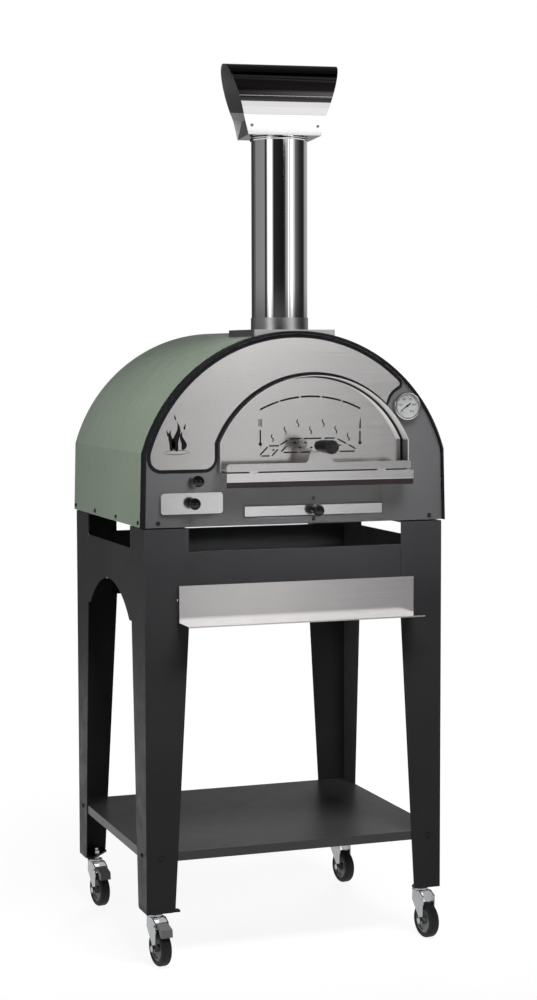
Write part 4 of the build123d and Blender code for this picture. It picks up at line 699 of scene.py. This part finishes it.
def dress_frame():
    """Gives every carried-over part its finish."""
    for part in frame["record"]["subparts"]:
        node = NODES[part["node"]]
        look = OWN_LOOKS.get(part["node"], SLOT_LOOKS[part["material_slot"]])
        for place in node.material_slots:
            place.material = look


dress_frame()


# ---- pieces ----
def new_piece(name, mesh, look, body):
    """Puts a finished mesh on a body, with its finish."""
    piece = bpy.data.objects.new(name, mesh)
    bpy.context.scene.collection.objects.link(piece)
    mesh.materials.clear()
    mesh.materials.append(look)
    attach(piece, body)
    return piece


def smooth_mesh(mesh, sharp_angle=35.0):
    """Smooth shading that breaks at the sharp edges."""
    mesh.polygons.foreach_set("use_smooth", [True] * len(mesh.polygons))
    mesh.set_sharp_from_angle(angle=math.radians(sharp_angle))


def put(tree, kind, **values):
    """A geometry node whose inputs take numbers or other nodes' outputs."""
    node = tree.nodes.new(kind)
    for label, value in values.items():
        feed(tree, node.inputs[label.replace("_", " ")], value)
    return node


def geometry_tree(name, sizes):
    """An empty geometry tree with a number input for each size."""
    tree = bpy.data.node_groups.new(name, "GeometryNodeTree")
    tree.interface.new_socket("Points", in_out="INPUT", socket_type="NodeSocketGeometry")
    for label, value in sizes:
        socket = tree.interface.new_socket(label, in_out="INPUT", socket_type="NodeSocketFloat")
        socket.default_value = value
    tree.interface.new_socket("Finish", in_out="INPUT", socket_type="NodeSocketMaterial")
    tree.interface.new_socket("Geometry", in_out="OUTPUT", socket_type="NodeSocketGeometry")
    return tree, tree.nodes.new("NodeGroupInput").outputs, tree.nodes.new("NodeGroupOutput")


def end_tree(tree, start, end, geometry):
    """Realize Instances and Set Material, as every tree here ends."""
    real = put(tree, "GeometryNodeRealizeInstances", Geometry=geometry)
    dress = put(tree, "GeometryNodeSetMaterial", Geometry=real.outputs[0], Material=start["Finish"])
    tree.links.new(dress.outputs[0], end.inputs[0])


def point_aim(tree):
    """The aim that each point carries."""
    aim = put(tree, "GeometryNodeInputNamedAttribute", Name="aim")
    aim.data_type = "FLOAT_VECTOR"
    return aim.outputs[0]


def turn_to(tree, axis, vector, **more):
    """A rotation that turns one axis of an instance to a vector."""
    turn = put(tree, "FunctionNodeAlignRotationToVector", Vector=vector, **more)
    turn.axis = axis
    return turn


HEAD_RINGS, HEAD_SIDES, SHANK_SIDES = 8, 28, 16
DOME = 0.66  # how far a button head closes in towards its top
SOCKET_WIDE, SOCKET_DEEP = 0.40, 1.2  # of the head's radius and height


def make_screw_tree():
    """A button head with a hexagon socket, and its shank, on every point."""
    tree, start, end = geometry_tree(
        "button_screws",
        [
            ("Head Radius", 0.005),
            ("Head Height", 0.003),
            ("Shank Radius", 0.002),
            ("Shank Length", 0.01),
        ],
    )
    radius, tall = start["Head Radius"], start["Head Height"]
    top = put(tree, "ShaderNodeCombineXYZ", Z=tall)
    line = put(tree, "GeometryNodeCurvePrimitiveLine", End=top.outputs[0])
    steps = put(tree, "GeometryNodeResampleCurve", Curve=line.outputs[0], Count=HEAD_RINGS)
    along = put(tree, "GeometryNodeSplineParameter").outputs["Factor"]
    closing = maths(tree, "MULTIPLY", maths(tree, "POWER", along, 2.0), DOME)
    bulge = maths(tree, "SQRT", maths(tree, "SUBTRACT", 1.0, closing))
    dome_radius = maths(tree, "MULTIPLY", radius, bulge)
    swell = put(tree, "GeometryNodeSetCurveRadius", Curve=steps.outputs[0], Radius=dome_radius)
    circle = put(tree, "GeometryNodeCurvePrimitiveCircle", Resolution=HEAD_SIDES, Radius=1.0)
    head = tree.nodes.new("GeometryNodeCurveToMesh")
    tree.links.new(swell.outputs[0], head.inputs["Curve"])
    tree.links.new(circle.outputs[0], head.inputs["Profile Curve"])
    swollen = put(tree, "GeometryNodeInputNamedAttribute", Name="radius")
    tree.links.new(swollen.outputs[0], head.inputs["Scale"])
    head.inputs["Fill Caps"].default_value = True
    key = put(
        tree,
        "GeometryNodeMeshCylinder",
        Vertices=6,
        Radius=maths(tree, "MULTIPLY", radius, SOCKET_WIDE),
        Depth=maths(tree, "MULTIPLY", tall, SOCKET_DEEP),
    )
    raised = put(tree, "GeometryNodeTransform", Geometry=key.outputs[0], Translation=top.outputs[0])
    socketed = tree.nodes.new("GeometryNodeMeshBoolean")
    socketed.operation = "DIFFERENCE"
    tree.links.new(head.outputs[0], socketed.inputs["Mesh 1"])
    tree.links.new(raised.outputs[0], socketed.inputs["Mesh 2"])
    shank = put(
        tree,
        "GeometryNodeMeshCylinder",
        Vertices=SHANK_SIDES,
        Radius=start["Shank Radius"],
        Depth=start["Shank Length"],
    )
    sunk = put(tree, "ShaderNodeCombineXYZ", Z=maths(tree, "MULTIPLY", start["Shank Length"], -0.5))
    shank = put(
        tree,
        "GeometryNodeTransform",
        Geometry=shank.outputs[0],
        Translation=sunk.outputs[0],
    )
    whole = tree.nodes.new("GeometryNodeJoinGeometry")
    tree.links.new(socketed.outputs[0], whole.inputs[0])
    tree.links.new(shank.outputs[0], whole.inputs[0])
    placed = put(
        tree,
        "GeometryNodeInstanceOnPoints",
        Points=start["Points"],
        Instance=whole.outputs[0],
        Rotation=turn_to(tree, "Z", point_aim(tree)).outputs[0],
    )
    end_tree(tree, start, end, placed.outputs[0])
    return tree


def grow(name, tree, places, settings):
    """Runs a geometry tree on (place, aim) points and returns the plain mesh."""
    seed = bpy.data.meshes.new(name + "_points")
    seed.from_pydata([place for place, aim in places], [], [])
    aims = seed.attributes.new("aim", "FLOAT_VECTOR", "POINT")
    for item, (place, aim) in zip(aims.data, places):
        item.vector = aim
    host = bpy.data.objects.new(name + "_host", seed)
    bpy.context.scene.collection.objects.link(host)
    maker = host.modifiers.new("maker", "NODES")
    maker.node_group = tree
    inputs = [item for item in tree.interface.items_tree if item.in_out == "INPUT"]
    sockets = {item.name: item.identifier for item in inputs}
    for label, value in settings.items():
        maker[sockets[label]] = value
    mesh = plain_mesh(host)
    mesh.name = name
    host.modifiers.remove(maker)
    bpy.data.objects.remove(host)
    return mesh


WELD = 1e-6  # points closer than this are one


def islands(node):
    """The separate solids of a node, as lists of points."""
    work = bmesh.new()
    work.from_mesh(NODES[node].data)
    bmesh.ops.remove_doubles(work, verts=work.verts, dist=WELD)
    left = set(work.verts)
    found = []
    while left:
        stack = [left.pop()]
        points = []
        while stack:
            vert = stack.pop()
            points.append(vert.co.copy())
            for edge in vert.link_edges:
                other = edge.other_vert(vert)
                if other in left:
                    left.remove(other)
                    stack.append(other)
        found.append(points)
    work.free()
    return found


HEAD_PART = 0.93  # a point this far out, of the largest radius, is on the head's rim
SEAT_SLACK = 1e-4


def read_screw(points):
    """Seat, aim, head radius, head height, shank radius and shank length of one plain screw."""
    cloud = np.array([list(p) for p in points])
    centre = (cloud.max(0) + cloud.min(0)) / 2
    values, axes = np.linalg.eigh(np.cov((cloud - centre).T))
    pick = 2 if values[2] - values[1] > values[1] - values[0] else 0
    axis = axes[:, pick]
    along = (cloud - centre) @ axis
    middle_line = centre + np.outer(along, axis)
    away = np.linalg.norm(cloud - middle_line, axis=1)
    head = away > HEAD_PART * away.max()
    if along[head].mean() < (along.max() + along.min()) / 2:
        axis, along = -axis, -along
    seat = along[head].min()
    shank = away[along < seat - SEAT_SLACK]
    return (
        tuple(centre + seat * axis),
        tuple(axis),
        float(away.max()),
        float(along.max() - seat),
        float(shank[shank > 0].max()) if len(shank) else float(away.max()) / 2,
        float(seat - along.min()),
    )


SCREW_TREE = make_screw_tree()


def screws(name, node, body, look):
    """Socketed button screws where the plain ones are."""
    read = [read_screw(points) for points in islands(node)]
    read.sort()
    radius, tall, shank = read[0][2:5]
    settings = {
        "Head Radius": radius,
        "Head Height": tall,
        "Shank Radius": shank,
        "Shank Length": min(r[5] for r in read),
        "Finish": look,
    }
    mesh = grow(name, SCREW_TREE, [(r[0], r[1]) for r in read], settings)
    smooth_mesh(mesh)
    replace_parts(new_piece(name, mesh, look, body), node)


screws("socket_screws_frame", "frame_screws", "oven", SCREW_BLACK)
screws("socket_screws_panel", "panel_screws", "oven", SCREW_BLACK)
screws("socket_screws_cowl", "cowl_screws", "cowl", BASE_STEEL)


def flat_shapes(name, outlines, thick, at):
    """Thin cut shapes standing on a front face; outlines are in millimetres, x right and z up."""
    work = bmesh.new()
    for outline in outlines:
        verts = [work.verts.new((at[0] + x * MM, at[1], at[2] + z * MM)) for x, z in outline]
        face = work.faces.new(verts)
        face.normal_update()
        if face.normal.y > 0:
            face.normal_flip()
    bmesh.ops.triangulate(work, faces=work.faces[:])
    grown = bmesh.ops.extrude_face_region(work, geom=work.faces[:])
    top = [g for g in grown["geom"] if isinstance(g, bmesh.types.BMVert)]
    bmesh.ops.translate(work, verts=top, vec=(0, -thick * MM, 0))
    bmesh.ops.recalc_face_normals(work, faces=work.faces[:])
    mesh = bpy.data.meshes.new(name)
    work.to_mesh(mesh)
    work.free()
    return mesh


def lick(x, z, tall, wide, sway):
    """A flame tongue that swells low down and winds up to a point."""
    steps = [k / 24 for k in range(25)]

    def edge(t, way):
        half = wide / 2 * math.sin(math.pi * t**0.55)
        return (x + sway * math.sin(2 * math.pi * t) + way * half, z + tall * t)

    return [edge(t, -1) for t in steps] + [edge(t, 1) for t in steps[-2:0:-1]]


def oval_band(x, z, half_wide, half_tall, line):
    """Two thin crescents that meet at the ends like a drawn oval."""
    steps = [math.pi * k / 20 for k in range(21)]

    def arc(wide, tall):
        return [(x + wide * math.cos(t), z + tall * math.sin(t)) for t in steps]

    bands = []
    for way in (1, -1):
        outer = arc(half_wide, way * half_tall)
        inner = arc(half_wide - line / 2, way * (half_tall - line))
        bands.append(outer + inner[::-1])
    return bands


FLAME_IN, FLAME_UP = 0.058, 0.036  # from the plate's lower left corner
FLAME_THICK = 0.25  # millimetres


def flame_mark():
    """A small etched flame over an oval, at the plate's lower left."""
    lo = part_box("facade_plate")[0]
    at = (lo.x + FLAME_IN, lo.y, lo.z + FLAME_UP)
    shapes = [
        lick(-12.0, 5.0, 46.0, 13.0, 3.0),
        lick(1.0, 3.0, 66.0, 15.0, -4.5),
        lick(14.0, 6.0, 42.0, 12.0, 3.5),
        lick(-20.0, 36.0, 15.0, 4.0, 1.0),
        lick(19.0, 50.0, 14.0, 4.0, -1.0),
        lick(-3.0, 71.0, 12.0, 3.4, 1.0),
    ]
    shapes += oval_band(0.0, 1.5, 29.0, 5.0, 1.1)
    mesh = flat_shapes("flame_mark", shapes, FLAME_THICK, at)
    new_piece("flame_mark", mesh, INK_BLACK, "oven")


flame_mark()


TICK_THICK = 0.0002
TICK_END = 0.93  # the ticks' outer ends, of the dial's radius
SCALE_START, SCALE_SWEEP = 225, 270  # degrees
SCALE_TICKS = (  # name, count, length of the radius, width
    ("gauge_ticks", 50, 0.09, 0.0003),
    ("gauge_marks", 10, 0.15, 0.0006),
)
NUMBERS, NUMBER_STEP = 5, 100
NUMBER_SIZE, NUMBER_PLACE = 0.25, 0.62  # of the dial's radius
NUMBER_THICK, NUMBER_LIFT = 0.00008, 0.00002


def make_tick_tree():
    """Fine and bold scale lines on an arc of a dial."""
    sizes = [("Length", 0.003), ("Width", 0.0004), ("Thickness", TICK_THICK)]
    tree, start, end = geometry_tree("dial_ticks", sizes)
    size = put(
        tree,
        "ShaderNodeCombineXYZ",
        X=start["Width"],
        Y=start["Length"],
        Z=start["Thickness"],
    )
    bar = put(tree, "GeometryNodeMeshCube", Size=size.outputs[0])
    flat = turn_to(tree, "Z", (0.0, -1.0, 0.0))
    spun = turn_to(tree, "Y", point_aim(tree), Rotation=flat.outputs[0])
    spun.pivot_axis = "Z"
    placed = put(
        tree,
        "GeometryNodeInstanceOnPoints",
        Points=start["Points"],
        Instance=bar.outputs[0],
        Rotation=spun.outputs[0],
    )
    end_tree(tree, start, end, placed.outputs[0])
    return tree


def scale_aim(part):
    """The way out from the dial's middle at a part, 0 to 1, of the scale."""
    turn = math.radians(SCALE_START - SCALE_SWEEP * part)
    return Vector((math.cos(turn), 0, math.sin(turn)))


def gauge_scale():
    """Ticks and round numbers on the dial, from lower left clockwise to lower right."""
    lo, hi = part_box("gauge_dial")
    centre = (lo + hi) / 2
    centre.y = lo.y
    radius = (hi.x - lo.x) / 2
    tree = make_tick_tree()
    for name, count, length, width in SCALE_TICKS:
        aims = [scale_aim(k / count) for k in range(count + 1)]
        places = [(centre + aim * radius * (TICK_END - length / 2), aim) for aim in aims]
        settings = {
            "Length": radius * length,
            "Width": width,
            "Thickness": TICK_THICK,
            "Finish": INK_BLACK,
        }
        mesh = grow(name, tree, places, settings)
        new_piece(name, mesh, INK_BLACK, "oven")
    for k in range(NUMBERS + 1):
        text = bpy.data.curves.new("gauge_number", "FONT")
        text.body = str(NUMBER_STEP * k)
        text.size = radius * NUMBER_SIZE
        text.align_x = text.align_y = "CENTER"
        text.extrude = NUMBER_THICK
        host = bpy.data.objects.new("gauge_number", text)
        bpy.context.scene.collection.objects.link(host)
        mesh = plain_mesh(host)
        bpy.data.objects.remove(host)
        place = centre + Vector((0, -NUMBER_LIFT, 0))
        place += scale_aim(k / NUMBERS) * radius * NUMBER_PLACE
        mesh.transform(Matrix.Translation(place) @ Matrix.Rotation(math.pi / 2, 4, "X"))
        new_piece(f"gauge_number_{k}", mesh, INK_BLACK, "oven")


gauge_scale()


def turned_ring(name, centre, profile, count=96):
    """A ring made by turning a closed profile of (radius, z) points about an upright line."""
    verts, faces = [], []
    for k in range(count):
        turn = 2 * math.pi * k / count
        x, y = math.cos(turn), math.sin(turn)
        verts += [(centre[0] + r * x, centre[1] + r * y, z) for r, z in profile]
    n = len(profile)
    for k in range(count):
        a, b = k * n, (k + 1) % count * n
        faces += [(a + j, b + j, b + (j + 1) % n, a + (j + 1) % n) for j in range(n)]
    mesh = outward_mesh(name, verts, faces)
    smooth_mesh(mesh, 60.0)
    return mesh


BEAD_BELOW = 0.005  # under the cowl's sheet
BEAD_OUT = 0.0006
BEAD_HALF_WIDE, BEAD_HALF_TALL = 0.0028, 0.0034


def pipe_bead():
    """The rolled bead at the pipe's top, under the cowl."""
    lo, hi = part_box("flue_pipe")
    centre = (lo + hi) / 2
    out = (hi.x - lo.x) / 2 + BEAD_OUT
    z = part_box("cowl_sheet")[0].z - BEAD_BELOW
    steps = [2 * math.pi * k / 16 for k in range(16)]
    wide, tall = BEAD_HALF_WIDE, BEAD_HALF_TALL
    profile = [(out + wide * math.cos(t), z + tall * math.sin(t)) for t in steps]
    mesh = turned_ring("pipe_bead", centre, profile)
    new_piece("pipe_bead", mesh, MIRROR, "oven")


pipe_bead()


FACE_SLACK = 1e-5


def front_outline(node):
    """The outer edge of a flat plate's front face, in order, as (x, z)."""
    work = bmesh.new()
    work.from_mesh(NODES[node].data)
    bmesh.ops.remove_doubles(work, verts=work.verts, dist=WELD)
    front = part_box(node)[0].y + FACE_SLACK
    faces = {f for f in work.faces if max(v.co.y for v in f.verts) < front}
    links = {}
    for face in faces:
        for edge in face.edges:
            if sum(f in faces for f in edge.link_faces) == 1:
                a, b = edge.verts
                links.setdefault(a, []).append(b)
                links.setdefault(b, []).append(a)
    loops = []
    while links:
        start = next(iter(links))
        loop, here, last = [start], links[start][0], start
        while here is not start:
            loop.append(here)
            onward = [v for v in links[here] if v is not last]
            last, here = here, onward[0]
        for vert in loop:
            links.pop(vert, None)
        loops.append([(v.co.x, v.co.z) for v in loop])
    work.free()
    return max(loops, key=lambda loop: max(x for x, z in loop) - min(x for x, z in loop))


# Width and thickness of the black band of painted shade round the facade plate.
SHADE_BAND_WIDE, SHADE_BAND_THICK = 0.0078, 0.0006


def painted_shade_band(name, node, panel):
    """A thin black band on the panel, all round the edge of the plate that lies on it: painted
    shade in the gap between the plate and the rim.
    """
    loop = front_outline(node)
    count = len(loop)
    following = loop[1:] + loop[:1]
    area = sum(a[0] * b[1] - b[0] * a[1] for a, b in zip(loop, following))
    way = 1 if area > 0 else -1
    outer = []
    for k in range(count):
        before, here, after = Vector(loop[k - 1]), Vector(loop[k]), Vector(following[k])
        a = (here - before).normalized()
        b = (after - here).normalized()
        out = Vector((a.y + b.y, -a.x - b.x)) * way
        outer.append(here + out.normalized() * SHADE_BAND_WIDE)
    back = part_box(panel)[0].y
    verts = []
    for y in (back - SHADE_BAND_THICK, back):
        verts += [(x, y, z) for x, z in loop] + [(x, y, z) for x, z in outer]
    faces = []
    for k in range(count):
        j = (k + 1) % count
        faces.append((k, j, j + count, k + count))
        faces.append((k + 2 * count, k + 3 * count, j + 3 * count, j + 2 * count))
        faces.append((k + count, j + count, j + 3 * count, k + 3 * count))
        faces.append((j, k, k + 2 * count, j + 2 * count))
    new_piece(name, outward_mesh(name, verts, faces), BLACK_TRIM_AND_PAINTED_SHADE, "oven")


painted_shade_band("facade_painted_shade_band", "facade_plate", "front_panel")


NOSE_DROP, NOSE_BEND, NOSE_THICK = 0.0125, 0.004, 0.0012
NOSE_SET_BACK, NOSE_RETURN = 0.0016, 0.006
NOSE_STEPS = 8
SILL_FRONT = 0.0005  # depth of the sill's front face


def sill_nose():
    """The rolled lower edge under the sill's front, in a near-black steel that is painted shade and
    painted dark reflection.
    """
    face_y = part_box("landing_sill")[0].y
    points = [v.co for v in NODES["landing_sill"].data.vertices]
    front = [v for v in points if v.y < face_y + SILL_FRONT]
    top = min(v.z for v in front)
    left, right = min(v.x for v in front), max(v.x for v in front)
    turns = [math.pi / 2 * k / NOSE_STEPS for k in range(NOSE_STEPS + 1)]
    corner_y = face_y + NOSE_SET_BACK + NOSE_BEND
    corner_z = top - NOSE_DROP + NOSE_BEND

    def side(y, radius):
        bend = [(corner_y - radius * math.cos(t), corner_z - radius * math.sin(t)) for t in turns]
        return [(y, top), *bend, (corner_y + NOSE_RETURN, corner_z - radius)]

    inner = side(face_y + NOSE_THICK, NOSE_BEND - NOSE_THICK)
    profile = side(face_y, NOSE_BEND) + inner[::-1]
    n = len(profile)
    verts = [(x, y, z) for x in (left, right) for y, z in profile]
    faces = [(k, (k + 1) % n, (k + 1) % n + n, k + n) for k in range(n)]
    faces += [tuple(range(n)), tuple(range(2 * n - 1, n - 1, -1))]
    mesh = outward_mesh("sill_nose", verts, faces)
    smooth_mesh(mesh)
    new_piece("sill_nose", mesh, PAINTED_SHADE_STEEL, "oven")


sill_nose()
